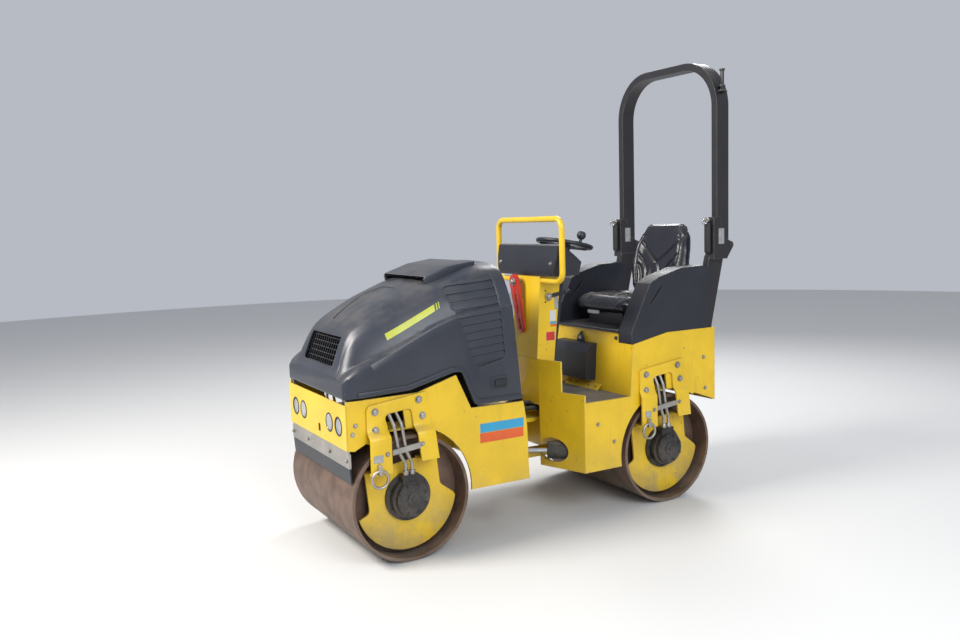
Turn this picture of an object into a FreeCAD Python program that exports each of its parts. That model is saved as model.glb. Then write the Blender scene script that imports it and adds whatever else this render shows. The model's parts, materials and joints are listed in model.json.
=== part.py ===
"""Small tandem road roller: two drum frames hinged in the middle, fold-down roll bar.

Millimetres, +X forward (hood end), +Y to the machine's left, +Z up, ground at z = 0.
Lengths along X are written from the steering pin, which stands midway between the drum axles.
The last step moves everything along X so that the whole machine is centred on the origin.
"""
import FreeCAD, Part
import math
import os

V = FreeCAD.Vector

# Drums and their places
wheelbase = 1510.0
drum_radius = 290.0
drum_width = 800.0
drum_wall = 15.0
web_thickness = 12.0
web_inset = 110.0
hub_radius = 60.0
hub_gap = 0.3

# Frames
front_half_width = 378.0
rear_half_width = 404.0
plate = 10.0
arch_gap = 30.0
front_nose_x = 1042.0
front_tail_x = 126.0
front_deck_z = 612.0
plate_low_z = 268.0
panel_top_z = 746.0
panel_low_z = 545.0
rear_corner_x = -206.0
nose_x = -118.0
nose_half_width = 130.0
fold_half_width = 266.0
rear_low_z = 242.0
platform_z = 600.0
toe_guard_z = 641.0
guard_top_z = 800.0
seat_wall_foot_x = -499.0
seat_wall_top_x = -522.0
deck_z = 930.0
tail_x = -1088.0
tail_low_z = 512.0
tail_top_z = 912.0

# Steering hinge, oscillation and cylinder
hinge_z = 375.0
pin_radius = 22.0
ear_thickness = 22.0
ear_gap = 170.0
ear_radius = 48.0
shaft_radius = 34.0
running_gap = 0.3
cylinder_z = 335.0
rod_pin_x = 12.0
rod_pin_y = 111.0
barrel_pin_x = -300.0
barrel_pin_y = 310.0
barrel_radius = 30.0
rod_radius = 12.5

# Drum brackets and motors
bracket_tilt = 7.0
bracket_plate = 12.0
leg_bulge_y = 428.0
support_y = 345.0
support_radius = 236.0
motor_radius = 92.0
motor_face_y = 415.0

# Console, rail and wheel
console_half_width = 120.0
console_foot_back_x = -206.0
console_top_front_x = -147.0
console_top_z = 1232.0
console_depth = 128.0
cowl_half_width = 281.0
cowl_top_z = 1388.0
rail_x = -162.0
rail_half_width = 301.0
rail_top_z = 1521.0
rail_tube = 15.0
wheel_x = -390.0
wheel_z = 1386.0
wheel_radius = 155.0
wheel_tilt = 12.0

# Seat and pods
seat_y = 0.0
cushion_low_z = 1000.0
cushion_top_z = 1082.0

# Roll bar
rops_y = 392.0
post_y = 372.0
rops_leg_x = 85.0
rops_leg_y = 40.0
rops_front_x = -1099.0
rops_pin_x = -1188.0
rops_pin_z = 1353.0
rops_top_z = 2346.0
rops_corner_radius = 255.0
rops_ear_radius = 20.0

# Overall reach, which sets the origin
front_reach = 1050.0
rear_reach = rops_pin_x - rops_ear_radius
origin_shift = -(front_reach + rear_reach) / 2.0

front_axle_x = wheelbase / 2.0
rear_axle_x = -wheelbase / 2.0


def box(x0, x1, y0, y1, z0, z1):
    low = V(min(x0, x1), min(y0, y1), min(z0, z1))
    return Part.makeBox(abs(x1 - x0), abs(y1 - y0), abs(z1 - z0), low)


def side_prism(points, y0, y1):
    """A flat outline of (x, z) points, thick from y0 to y1."""
    wire = Part.makePolygon([V(x, y0, z) for x, z in points + points[:1]])
    return Part.Face(wire).extrude(V(0, y1 - y0, 0))


def plan_prism(points, z0, z1):
    """A plan outline of (x, y) points, from z0 up to z1."""
    wire = Part.makePolygon([V(x, y, z0) for x, y in points + points[:1]])
    return Part.Face(wire).extrude(V(0, 0, z1 - z0))


def front_prism(points, x0, x1):
    """An outline of (y, z) points seen from the front, thick from x0 to x1."""
    wire = Part.makePolygon([V(x0, y, z) for y, z in points + points[:1]])
    return Part.Face(wire).extrude(V(x1 - x0, 0, 0))


def rod(start, end, radius):
    a, b = V(*start), V(*end)
    return Part.makeCylinder(radius, (b - a).Length, a, b - a)


def across(x, z, radius, y0, y1):
    """A cylinder along Y."""
    return rod((x, y0, z), (x, y1, z), radius)


def fuse(*shapes):
    whole = shapes[0]
    for shape in shapes[1:]:
        whole = whole.fuse(shape)
    return whole.removeSplitter()


def mirrored(shape):
    return shape.mirror(V(0, 0, 0), V(0, 1, 0))


def both(shape):
    """The left piece and its twin on the right, as two solids."""
    return Part.makeCompound([shape, mirrored(shape)])


def turned(shape, degrees, centre, axis):
    copy = shape.copy()
    copy.rotate(V(*centre), V(*axis), degrees)
    return copy


def bent_tube(points, radius, bend):
    """A round tube through points, its corners rounded to the bend radius."""
    pts = [V(*p) for p in points]
    edges = []
    start = pts[0]
    for before, corner, after in zip(pts, pts[1:], pts[2:]):
        into = (before - corner).normalize()
        out = (after - corner).normalize()
        half = into.getAngle(out) / 2.0
        reach = bend / math.tan(half)
        first = corner + into * reach
        last = corner + out * reach
        middle = corner + (into + out).normalize() * (bend / math.sin(half) - bend)
        edges.append(Part.LineSegment(start, first).toShape())
        edges.append(Part.Arc(first, middle, last).toShape())
        start = last
    edges.append(Part.LineSegment(start, pts[-1]).toShape())
    path = Part.Wire(edges)
    ring = Part.Wire(Part.makeCircle(radius, pts[0], pts[1] - pts[0]))
    return path.makePipeShell([ring], True, False)


def save(name, shape):
    placed = shape.copy()
    placed.translate(V(origin_shift, 0, 0))
    placed.exportStep("parts/" + name + ".step")


def drum(axle_x):
    """Rolled shell with a web and hub near each end, turning on the motors' stubs."""
    half = drum_width / 2.0
    shell = across(axle_x, drum_radius, drum_radius, -half, half)
    shell = shell.cut(across(axle_x, drum_radius, drum_radius - drum_wall, -half, half))
    pieces = [shell]
    for side in (-1, 1):
        outer = side * (half - web_inset)
        inner = side * (half - web_inset - web_thickness)
        web = across(axle_x, drum_radius, drum_radius - drum_wall, inner, outer)
        hub = across(axle_x, drum_radius, hub_radius, inner - side * 30.0, outer + side * 20.0)
        bore = across(axle_x, drum_radius, 35.0 + hub_gap, inner - side * 40.0, outer + side * 30.0)
        pieces.append(fuse(web, hub).cut(bore))
    return fuse(*pieces)


def arch(axle_x, y0, y1):
    return across(axle_x, drum_radius, drum_radius + arch_gap, y0, y1)


def front_frame():
    """Welded box: side plates with the drum arch, deck over the drum, tail wall with its bearing."""
    half = front_half_width
    outline = [(front_nose_x, panel_top_z), (front_nose_x, panel_low_z), (1012, 540), (956, 567),
               (940, 560), (436, plate_low_z), (front_tail_x - 14, plate_low_z), (front_tail_x - 8, 536),
               (front_tail_x + 8, 640), (front_tail_x + 12, 655), (425, 658), (500, 822), (700, 764),
               (front_nose_x, 762)]
    pieces = []
    for side in (-1, 1):
        sheet = side_prism(outline, side * (half - plate), side * half)
        sheet = sheet.cut(pipe_window(front_axle_x)).cut(mirrored(pipe_window(front_axle_x)))
        pieces.append(sheet.cut(arch(front_axle_x, -500, 500)))
    pieces.append(box(front_tail_x, front_nose_x - 42, -half + plate, half - plate,
                      front_deck_z - plate, front_deck_z))
    tail = box(front_tail_x, front_tail_x + plate, -half + plate, half - plate, plate_low_z, front_deck_z)
    bearing = rod((front_tail_x - 22, 0, hinge_z), (front_tail_x + 60, 0, hinge_z), shaft_radius + 30)
    journal = rod((front_tail_x - 40, 0, hinge_z), (front_tail_x + 80, 0, hinge_z),
                  shaft_radius + running_gap)
    frame = fuse(*pieces, tail, bearing)
    return frame.cut(journal)


def front_panel():
    """Upright nose plate with four lamp holes and a small centre slot."""
    half = front_half_width
    sheet = box(front_nose_x, front_nose_x + 6, -half, half, panel_low_z, panel_top_z)
    for y, radius in lamp_table:
        for side in (-1, 1):
            hole = rod((front_nose_x - 5, side * y, lamp_z), (front_nose_x + 20, side * y, lamp_z), radius)
            sheet = sheet.cut(hole)
    return sheet.cut(box(front_nose_x - 5, front_nose_x + 20, 25, 53, 575, 612))


# Lamps: distance from the centre line, hole radius
lamp_table = [(175.0, 44.0), (287.0, 44.0)]
lamp_z = 641.0


def lamps():
    lenses = []
    for y, radius in lamp_table:
        for side in (-1, 1):
            lenses.append(rod((front_nose_x - 30, side * y, lamp_z), (front_nose_x + 4, side * y, lamp_z),
                              radius - 7))
    return Part.makeCompound(lenses)


def lamp_rings():
    rings = []
    for y, radius in lamp_table:
        for side in (-1, 1):
            ring = rod((front_nose_x - 34, side * y, lamp_z), (front_nose_x + 8, side * y, lamp_z), radius - 0.3)
            lens = rod((front_nose_x - 30, side * y, lamp_z), (front_nose_x + 20, side * y, lamp_z),
                       radius - 7)
            rings.append(ring.cut(lens))
    return Part.makeCompound(rings)


def ribbon(points, thickness):
    """Outline of a folded plate: the points of one face, thickened to the left of their run."""
    offsets = []
    for index, (a, b) in enumerate(points):
        before = points[index - 1] if index else None
        after = points[index + 1] if index + 1 < len(points) else None
        normals = []
        if before:
            normals.append(unit_normal(before, (a, b)))
        if after:
            normals.append(unit_normal((a, b), after))
        nx = sum(n[0] for n in normals) / len(normals)
        ny = sum(n[1] for n in normals) / len(normals)
        scale = thickness / (nx * nx + ny * ny)
        offsets.append((a + nx * scale, b + ny * scale))
    return points + offsets[::-1]


def unit_normal(start, end):
    dx, dy = end[0] - start[0], end[1] - start[1]
    length = math.hypot(dx, dy)
    return -dy / length, dx / length


# Bracket legs: from and to along X beside the axle, height of the foot that meets the carrier
leg_table = [(105.0, 190.0, 452.0), (-112.0, -30.0, 478.0)]
bracket_top_z = 752.0
window_top_z = 728.0
leg_root_z = 640.0


def bracket(axle_x, base_y):
    """Folded plate bolted to the side plate, with a pipe window and two legs down to the drum's end."""
    first, last = leg_table[1][0], leg_table[0][1]
    inner = (leg_table[1][1], leg_table[0][0])
    top = box(axle_x + first, axle_x + last, base_y, base_y + bracket_plate, leg_root_z, bracket_top_z)
    window = box(axle_x + inner[0], axle_x + inner[1], base_y - 5, base_y + bracket_plate + 5,
                 leg_root_z - 5, window_top_z)
    pieces = [top.cut(window)]
    bulge = leg_bulge_y - bracket_plate
    for u0, u1, foot_z in leg_table:
        face = [(support_y, foot_z), (bulge - 16, foot_z), (bulge, foot_z + 22), (bulge, 588),
                (base_y, 624), (base_y, leg_root_z)]
        pieces.append(front_prism(ribbon(face, -bracket_plate), axle_x + u0, axle_x + u1))
    return turned(fuse(*pieces), bracket_tilt, (axle_x, 0, drum_radius), (0, 1, 0))


# Carrier neck: its edges along X beside the axle, and where each side starts above the axle
neck_front, neck_front_low = 200.0, -30.0
neck_rear, neck_rear_low = -150.0, 15.0


def support_plate(axle_x):
    """Plate inside the drum's end that carries the motor: a low disc with a narrower neck."""
    back = support_y - plate
    disc = across(axle_x, drum_radius, support_radius, back, support_y)
    high = drum_radius + 400
    disc = disc.cut(box(axle_x + neck_rear, axle_x - 400, back - 5, support_y + 5,
                        drum_radius + neck_rear_low, high))
    disc = disc.cut(box(axle_x + neck_front, axle_x + 400, back - 5, support_y + 5,
                        drum_radius + neck_front_low, high))
    neck = box(axle_x + neck_rear, axle_x + neck_front, back, support_y, drum_radius, drum_radius + 215)
    neck = neck.common(across(axle_x, drum_radius, drum_radius - drum_wall - 12, back, support_y))
    return turned(fuse(disc, neck), bracket_tilt, (axle_x, 0, drum_radius), (0, 1, 0))


def motor(axle_x):
    """Travel motor on the support plate, its stub through the drum's hub."""
    body = across(axle_x, drum_radius, motor_radius, support_y + 0.3, motor_face_y - 22)
    cap = across(axle_x, drum_radius, motor_radius - 14, motor_face_y - 22, motor_face_y)
    head = box(axle_x - 35, axle_x + 45, support_y + 12, motor_face_y - 10, drum_radius + 60, drum_radius + 112)
    stub = across(axle_x, drum_radius, 35.0, drum_width / 2 - web_inset - web_thickness - 40, support_y + 1)
    return fuse(body, cap, head, stub)


def drum_end(axle_x, base_y):
    """Bracket, support plate and motor at the left end of a drum."""
    bore = across(axle_x, drum_radius, 35.0, 0, 600)
    return bracket(axle_x, base_y), support_plate(axle_x).cut(bore), motor(axle_x)


def pipe_window(axle_x):
    """Opening in the side plate behind the bracket's window, for the pipes."""
    hole = box(axle_x + leg_table[1][1], axle_x + leg_table[0][0], 300, 500, 560, window_top_z)
    return turned(hole, bracket_tilt, (axle_x, 0, drum_radius), (0, 1, 0))


# Pipes to the motor: place along X beside the axle at the window, and at the motor
pipe_table = [(74.0, 26.0), (38.0, -6.0)]
pipe_radius = 8.0


def pipes(axle_x, base_y):
    """Two bent steel pipes from the window down to the motor, with a clamp bar across them."""
    out = leg_bulge_y - pipe_radius - 2
    runs = []
    for high, low in pipe_table:
        points = [(axle_x + high + 30, base_y - 50, 716), (axle_x + high + 24, base_y - 10, 712),
                  (axle_x + high + 10, out, 640), (axle_x + high - 8, out, 520),
                  (axle_x + low, 396, 454), (axle_x + low, 396, drum_radius + 112.3)]
        runs.append(bent_tube(points, pipe_radius, 16.0))
    return Part.makeCompound(runs)


def scraper(axle_x, side, back_y):
    """Spring bar and blade across the drum; side is +1 ahead of the drum, -1 behind it."""
    face_x = front_nose_x
    low = box(face_x - 12, face_x, -back_y, back_y, 466, 530)
    high = box(face_x - 12, face_x, -back_y + plate + 0.3, back_y - plate - 0.3, 520, 575)
    bar = fuse(low, high)
    blade = side_prism([(face_x - 10, 465.7), (face_x - 2, 465.7), (face_x - 7, 396), (face_x - 11, 396)],
                       -back_y, back_y)
    return bar, blade


def hood_section(x, grow, z_low, low_y, crease_z, crease_y, edge_z, edge_y, crown_z):
    half = [(low_y - grow, z_low), (crease_y - grow, crease_z - grow * 0.4),
            (edge_y - grow * 0.7, edge_z - grow * 0.9), (edge_y * 0.55, crown_z - grow)]
    points = half + [(-y, z) for y, z in reversed(half)]
    return Part.makePolygon([V(x, y, z) for y, z in points + points[:1]])


# Hood stations: x, crease height and half width, roof edge height and half width, crown height
hood_table = [
    (1050.0, 846.0, 352.0, 852.0, 300.0, 856.0),
    (1020.0, 872.0, 376.0, 884.0, 246.0, 890.0),
    (972.0, 903.0, 384.0, 1030.0, 226.0, 1050.0),
    (880.0, 925.0, 388.0, 1084.0, 262.0, 1110.0),
    (700.0, 975.0, 390.0, 1160.0, 296.0, 1200.0),
    (500.0, 1035.0, 390.0, 1232.0, 312.0, 1272.0),
    (330.0, 1078.0, 390.0, 1288.0, 318.0, 1328.0),
    (120.0, 1090.0, 390.0, 1284.0, 316.0, 1326.0),
]
hood_wall = 7.0
hood_low_y = 390.0
hood_skirt_z = 640.0


def hood():
    """Moulded engine hood, hollow, with a louvred flank and a stepped lower lip."""
    def block(grow, first, last):
        wires = []
        for x, crease_z, crease_y, edge_z, edge_y, crown_z in hood_table:
            place = min(max(x, last), first)
            low = min(hood_low_y, crease_y + 6)
            wires.append(hood_section(place, grow, hood_skirt_z - grow, low, crease_z, crease_y,
                                      edge_z, edge_y, crown_z))
        return Part.makeLoft(wires, True, True)
    outer = block(0.0, 9999, -9999)
    inner = block(hood_wall, hood_table[0][0] - hood_wall, 120.0)
    tail = side_prism([(60, 600), (148, 600), (148, 669), (167, 851), (210, 1300), (214, 1400), (60, 1400)],
                      -500, 500)
    inner_tail = side_prism([(60, 600), (156, 600), (156, 669), (175, 851), (218, 1300), (222, 1400),
                             (60, 1400)], -500, 500)
    below = side_prism([(1100, 500), (1100, 780), (744, 782), (520, 838), (478, 836), (413, 674),
                        (60, 670), (60, 500)], -500, 500)
    shell = outer.cut(inner.cut(inner_tail)).cut(tail).cut(below)
    return fuse(shell.cut(louvre_slots()), *hood_lugs())


louvre_count = 11


def louvre_slots():
    slots = []
    for number in range(louvre_count):
        z = 890.0 + number * 33.0
        front = 395.0 + number * 13.0
        slot = side_prism([(front, z + 5), (front, z), (240, z + 25), (240, z + 30)], 300, 500)
        slots.append(slot)
        slots.append(mirrored(slot))
    return Part.makeCompound(slots)


def rear_frame():
    """Welded rear frame: side plates, V-shaped front wall, seat box and tail."""
    half = rear_half_width
    outline = [(rear_corner_x, rear_low_z), (rear_corner_x, toe_guard_z), (rear_corner_x - 6, toe_guard_z),
               (rear_corner_x - 8, platform_z), (seat_wall_foot_x, platform_z)] + body_top + [
               (tail_x, tail_low_z), (-1054, 527), (-942, 567),
               (rear_axle_x, 500), (-449, rear_low_z)]
    pieces = []
    for side in (-1, 1):
        sheet = side_prism(outline, side * (half - plate), side * half)
        sheet = sheet.cut(pipe_window(rear_axle_x)).cut(mirrored(pipe_window(rear_axle_x)))
        pieces.append(sheet.cut(arch(rear_axle_x, -500, 500)))
    slope = (nose_x - rear_corner_x) / (half - nose_half_width)
    fold_x = rear_corner_x + slope * (half - fold_half_width)
    wall = plan_prism([(rear_corner_x, half), (nose_x, nose_half_width), (nose_x, -nose_half_width),
                       (rear_corner_x, -half), (rear_corner_x - plate, -half),
                       (nose_x - plate, -nose_half_width), (nose_x - plate, nose_half_width),
                       (rear_corner_x - plate, half)], rear_low_z, toe_guard_z)
    opening = box(-300, 0, -nose_half_width, nose_half_width, 0, 560)
    wall = wall.cut(opening)
    wall = wall.cut(boot_hole())
    guard = plan_prism([(fold_x, fold_half_width), (nose_x, nose_half_width),
                        (nose_x, -nose_half_width), (fold_x, -fold_half_width),
                        (fold_x - plate, -fold_half_width), (nose_x - plate, -nose_half_width),
                        (nose_x - plate, nose_half_width), (fold_x - plate, fold_half_width)],
                       toe_guard_z - 60, guard_top_z)
    floor = plan_prism([(rear_corner_x - plate, half - plate), (nose_x - plate, nose_half_width),
                        (nose_x - plate, -nose_half_width), (rear_corner_x - plate, -half + plate),
                        (seat_wall_foot_x - 8, -half + plate), (seat_wall_foot_x - 8, half - plate)],
                       platform_z - 14, platform_z - 6)
    seat_wall = side_prism([(seat_wall_foot_x, platform_z - 14), (seat_wall_top_x, deck_z - 12),
                            (seat_wall_top_x - 8, deck_z - 12), (seat_wall_foot_x - 8, platform_z - 14)],
                           -half + plate, half - plate)
    for side in (-1, 1):
        seat_wall = seat_wall.cut(box(-600, -500, side * (pod_inner_y - 2), side * half,
                                      body_top[0][1], deck_z))
    shelf = box(tail_x, seat_wall_foot_x - 8, -half + plate, half - plate, 606, 614)
    tail = box(tail_x, tail_x + plate, -half + plate, half - plate, tail_low_z, tail_top_z)
    web = box(-350, -340, -half + plate, half - plate, rear_low_z, platform_z - 14)
    ears = []
    for z in (hinge_z - ear_gap / 2 - ear_thickness, hinge_z + ear_gap / 2):
        tongue = box(-345, 0, -62, 62, z, z + ear_thickness)
        tip = rod((0, 0, z), (0, 0, z + ear_thickness), 62)
        ears.append(fuse(tongue, tip).cut(rod((0, 0, z - 5), (0, 0, z + ear_thickness + 5), pin_radius + 0.1)))
    return fuse(*pieces, wall, guard, floor, seat_wall, shelf, tail, web, *ears)


def boot_hole():
    direction = V(rod_pin_x - barrel_pin_x, rod_pin_y - barrel_pin_y, 0).normalize()
    a = V(barrel_pin_x, barrel_pin_y, cylinder_z) + direction * 40
    return Part.makeCylinder(62.0, 260.0, a, direction)


def cylinder_axis():
    start = V(barrel_pin_x, barrel_pin_y, cylinder_z)
    end = V(rod_pin_x, rod_pin_y, cylinder_z)
    return start, end, (end - start).normalize()


def steering_cylinder():
    start, end, along = cylinder_axis()
    barrel = Part.makeCylinder(barrel_radius, 174.0, start + along * 38, along)
    neck = Part.makeCylinder(16.0, 30.0, start + along * 14, along)
    eye = Part.makeCylinder(26.0, 36.0, start - V(0, 0, 18), V(0, 0, 1))
    bore = Part.makeCylinder(12.1, 60.0, start - V(0, 0, 30), V(0, 0, 1))
    rod_bore = Part.makeCylinder(rod_radius + 0.1, 200.0, start + along * 48, along)
    return fuse(barrel, neck, eye).cut(bore).cut(rod_bore)


def cylinder_boot():
    start, end, along = cylinder_axis()
    low = Part.makeCone(barrel_radius + 20, barrel_radius + 14, 106, start + along * 110, along)
    core = Part.makeCylinder(barrel_radius + 0.3, 120, start + along * 100, along)
    return low.cut(core)


def steering_rod():
    start, end, along = cylinder_axis()
    length = (end - start).Length
    bar = Part.makeCylinder(rod_radius, length - 130, start + along * 110, along)
    eye = Part.makeCylinder(27.0, 30.0, end - V(0, 0, 15), V(0, 0, 1))
    return fuse(bar, eye)


def barrel_mount():
    """Two lugs and a pin that hold the barrel to the rear frame."""
    start = V(barrel_pin_x, barrel_pin_y, cylinder_z)
    pin = Part.makeCylinder(12.0, 76, start - V(0, 0, 38), V(0, 0, 1))
    lugs = []
    for z in (cylinder_z - 34, cylinder_z + 19):
        lugs.append(box(barrel_pin_x - 22, barrel_pin_x + 22, barrel_pin_y - 22,
                        rear_half_width - plate, z, z + 15))
    return fuse(pin, *lugs)


def hitch_yoke():
    """Block on the steering pin, its shaft forward into the front frame's bearing, cylinder fork at the side."""
    low = hinge_z - ear_gap / 2 + 0.3
    high = hinge_z + ear_gap / 2 - 0.3
    post = rod((0, 0, low), (0, 0, high), 52)
    arm = box(0, 84, -50, 50, hinge_z - 55, hinge_z + 55)
    shaft = rod((60, 0, hinge_z), (front_tail_x + 78, 0, hinge_z), shaft_radius)
    fork = []
    for z in (cylinder_z - 15 - 1 - 14, cylinder_z + 15 + 1):
        ear = box(rod_pin_x - 24, rod_pin_x + 24, 20, rod_pin_y, z, z + 14)
        fork.append(fuse(ear, rod((rod_pin_x, rod_pin_y, z), (rod_pin_x, rod_pin_y, z + 14), 24)))
    pin = rod((0, 0, low - ear_thickness - 14), (0, 0, high + ear_thickness + 14), pin_radius)
    return fuse(post, arm, shaft, pin, *fork)


def console():
    """Upright steering tower of folded sheet, standing on the toe guard and the floor."""
    back_x = console_top_front_x - console_depth
    inside = nose_x - plate - 0.3
    outer = side_prism([(nose_x, guard_top_z + 0.3), (console_top_front_x, console_top_z),
                        (back_x, console_top_z), (console_foot_back_x, platform_z + 0.3),
                        (inside, platform_z + 0.3), (inside, guard_top_z + 0.3)],
                       -console_half_width, console_half_width)
    inner = side_prism([(nose_x - 5, guard_top_z - 300), (console_top_front_x - 5, console_top_z + 5),
                        (-600, console_top_z + 5), (-600, guard_top_z - 300)],
                       -console_half_width + 5, console_half_width - 5)
    return outer.cut(inner)


def console_back():
    """Dark cover over the driver's side of the tower."""
    back_x = console_top_front_x - console_depth - 0.3
    cover = side_prism([(back_x, console_top_z), (back_x - 26, console_top_z),
                        (console_foot_back_x - 8, platform_z + 60),
                        (console_foot_back_x - 0.3, platform_z + 0.3)],
                       -console_half_width, console_half_width)
    return cover.cut(column_room(0.3))


def wheel_axis_point(distance):
    """Point on the steering wheel's axis, that far below the rim plane."""
    lean = math.radians(wheel_tilt)
    return (wheel_x + distance * math.sin(lean), 0.0, wheel_z - distance * math.cos(lean))


# Steering column between the cowl and the wheel, with a collar in line with the wheel
column_radius = 30.0
column_low = (-236.0, 0.0, 1260.0)
hub_depth = 46.0
collar_drop = 80.0


def column_room(gap):
    return rod(column_low, wheel_axis_point(collar_drop), column_radius + gap)


def console_cowl():
    """Moulded instrument cowl, wider at the top, under the grab rail."""
    low = console_top_z + 0.3
    side = side_prism([(-140, low), (-128, 1262), (-150, cowl_top_z), (-178, cowl_top_z + 6),
                       (-300, 1300), (-296, low)], -cowl_half_width, cowl_half_width)
    front = front_prism([(-cowl_half_width + 26, low), (-cowl_half_width, cowl_top_z - 60),
                         (-cowl_half_width, cowl_top_z + 20), (cowl_half_width, cowl_top_z + 20),
                         (cowl_half_width, cowl_top_z - 60), (cowl_half_width - 26, low)], -400, 0)
    return side.common(front).cut(column_room(0.3))


def handrail():
    y = rail_half_width
    inner_y = console_half_width + 0.3
    left = [(rail_x, inner_y, 1206), (rail_x, y, 1206), (rail_x, y, rail_top_z), (rail_x, -y, rail_top_z),
            (rail_x, -y, 1206), (rail_x, -inner_y, 1206)]
    return bent_tube(left, rail_tube, 50.0)


def steering_column():
    """Leaning tube with a collar that stands in line with the wheel's hub."""
    collar = rod(wheel_axis_point(collar_drop + 18), wheel_axis_point(hub_depth + running_gap), column_radius)
    return fuse(column_room(0.0), collar)


def steering_wheel():
    rim = Part.makeTorus(wheel_radius - 12, 12, V(0, 0, 0), V(0, 0, 1))
    hub = Part.makeCylinder(34, hub_depth, V(0, 0, -hub_depth), V(0, 0, 1))
    pieces = [rim, hub]
    for number in range(3):
        spoke = Part.makeBox(wheel_radius - 16, 24, 8, V(0, -12, -14))
        pieces.append(turned(spoke, 120 * number + 60, (0, 0, 0), (0, 0, 1)))
    knob = fuse(Part.makeCylinder(8, 30, V(0, wheel_radius - 14, 4), V(0, 0, 1)),
                Part.makeSphere(24, V(0, wheel_radius - 14, 46)))
    whole = fuse(*pieces, knob)
    whole.rotate(V(0, 0, 0), V(0, 1, 0), -wheel_tilt)
    whole.translate(V(wheel_x, 0, wheel_z))
    return whole


def platform():
    half = rear_half_width
    return plan_prism([(rear_corner_x - plate, half - plate - 1), (rear_corner_x + 20, half - 132),
                       (rear_corner_x + 20, -half + 132), (rear_corner_x - plate, -half + plate + 1),
                       (seat_wall_foot_x + 1, -half + plate + 1), (seat_wall_foot_x + 1, half - plate - 1)],
                      platform_z - 6, platform_z)


def seat_deck():
    return box(tail_x + plate, seat_wall_top_x + 12, -pod_inner_y + 2, pod_inner_y - 2,
               deck_z - 12 + 0.3, deck_z)


def document_box():
    body = side_prism([(seat_wall_foot_x - 4, 645), (seat_wall_foot_x + 62, 652),
                       (seat_wall_foot_x + 58, 800), (seat_wall_foot_x + 30, 842),
                       (seat_wall_foot_x - 18, 846)], -205, 105)
    return body


def seat_base():
    return box(-1010, -660, -150, 150, deck_z + 0.3, cushion_low_z - 0.3)


def seat_cushion():
    return side_prism([(-655, cushion_low_z), (-640, cushion_low_z + 40), (-665, cushion_top_z + 8),
                       (-960, cushion_top_z - 10), (-1010, cushion_top_z - 10), (-1010, cushion_low_z)], -245, 245)


def seat_back():
    return side_prism([(-962, cushion_top_z - 9.7), (-985, 1120), (-1072, 1455), (-1100, 1472), (-1125, 1458),
                       (-1100, 1250), (-1040, cushion_top_z - 9.7)], -212, 212)


# Top edge of the rear side plates: x, z
body_top = [(seat_wall_top_x, 868.0), (-751.0, 912.0), (tail_x, tail_top_z)]
# Arm pod outline above that edge: x, z
pod_outline = [(-515, 868), (-515, 932), (-640, 1175), (-700, 1205), (-850, 1245), (-1020, 1250),
               (-1046, 1236)]
pod_inner_y = 292.0


def arm_pod():
    foot = [(-1046, body_top[2][1] + 0.3), (body_top[1][0], body_top[1][1] + 0.3),
            (body_top[0][0], body_top[0][1] + 0.3)]
    body = side_prism(pod_outline + foot, pod_inner_y, rear_half_width - 2)
    hollow = side_prism([(-700, 1140), (-735, 1165), (-655, 1075), (-625, 1050)], 200, 500)
    return body.cut(hollow)


def rops_base():
    """Lower post with the cheeks and ears that carry the roll bar."""
    half = rops_leg_y / 2
    post = side_prism([(-1050, 618), (tail_x + plate, 618), (tail_x + plate, 923), (-1168, 1300),
                       (-1064, 1300), (-1050, 1240)], post_y - half, post_y + half)
    cheeks = []
    for side in (-1, 1):
        y0 = rops_y + side * (half + 5)
        y1 = rops_y + side * (half + 13)
        cheek = side_prism([(-1064, 1280), (-1064, 1505), (-1112, 1505), (-1130, 1400),
                            (rops_pin_x, rops_pin_z + rops_ear_radius), (rops_pin_x - 14, rops_pin_z - 14),
                            (-1160, 1280)], y0, y1)
        ear = across(rops_pin_x, rops_pin_z, rops_ear_radius, y0, y1)
        cheeks.append(fuse(cheek, ear))
    web = box(-1072, -1064, rops_y - half - 13, rops_y + half + 13, 1280, 1505)
    seat = side_prism([(-1072, 1280), (-1072, 1300), (-1168, 1300), (-1164, 1280)],
                      post_y - half, rops_y + half + 13)
    pin = across(rops_pin_x, rops_pin_z, 9, rops_y - half - 20, rops_y + half + 20)
    return fuse(post, *cheeks, web, seat, pin)


def rops_hoop():
    """Folding arch of square tube with rounded shoulders and a lamp spigot."""
    half_x = rops_leg_x / 2
    outer = rops_y + rops_leg_y / 2
    inner = rops_y - rops_leg_y / 2
    low = 1318.0

    def arc_outline(half_width, top, radius):
        k = math.sqrt(0.5)
        a = Part.LineSegment(V(0, half_width, low), V(0, half_width, top - radius)).toShape()
        b = Part.Arc(V(0, half_width, top - radius),
                     V(0, half_width - radius * (1 - k), top - radius * (1 - k)),
                     V(0, half_width - radius, top)).toShape()
        c = Part.LineSegment(V(0, half_width - radius, top), V(0, -half_width + radius, top)).toShape()
        d = Part.Arc(V(0, -half_width + radius, top),
                     V(0, -half_width + radius * (1 - k), top - radius * (1 - k)),
                     V(0, -half_width, top - radius)).toShape()
        e = Part.LineSegment(V(0, -half_width, top - radius), V(0, -half_width, low)).toShape()
        f = Part.LineSegment(V(0, -half_width, low), V(0, half_width, low)).toShape()
        return Part.Face(Part.Wire([a, b, c, d, e, f])).extrude(V(rops_leg_x, 0, 0))
    arch_shape = arc_outline(outer, rops_top_z, rops_corner_radius)
    hole = arc_outline(inner, rops_top_z - rops_leg_y, rops_corner_radius - rops_leg_y)
    arch_shape = arch_shape.cut(hole)
    arch_shape.translate(V(rops_front_x - rops_leg_x, 0, 0))
    eye_bore = across(rops_pin_x, rops_pin_z, 9.3, -500, 500)
    lug = []
    for side in (-1, 1):
        lug.append(across(rops_pin_x, rops_pin_z, 18, side * inner, side * outer))
    return fuse(arch_shape, *lug).cut(eye_bore)


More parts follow.
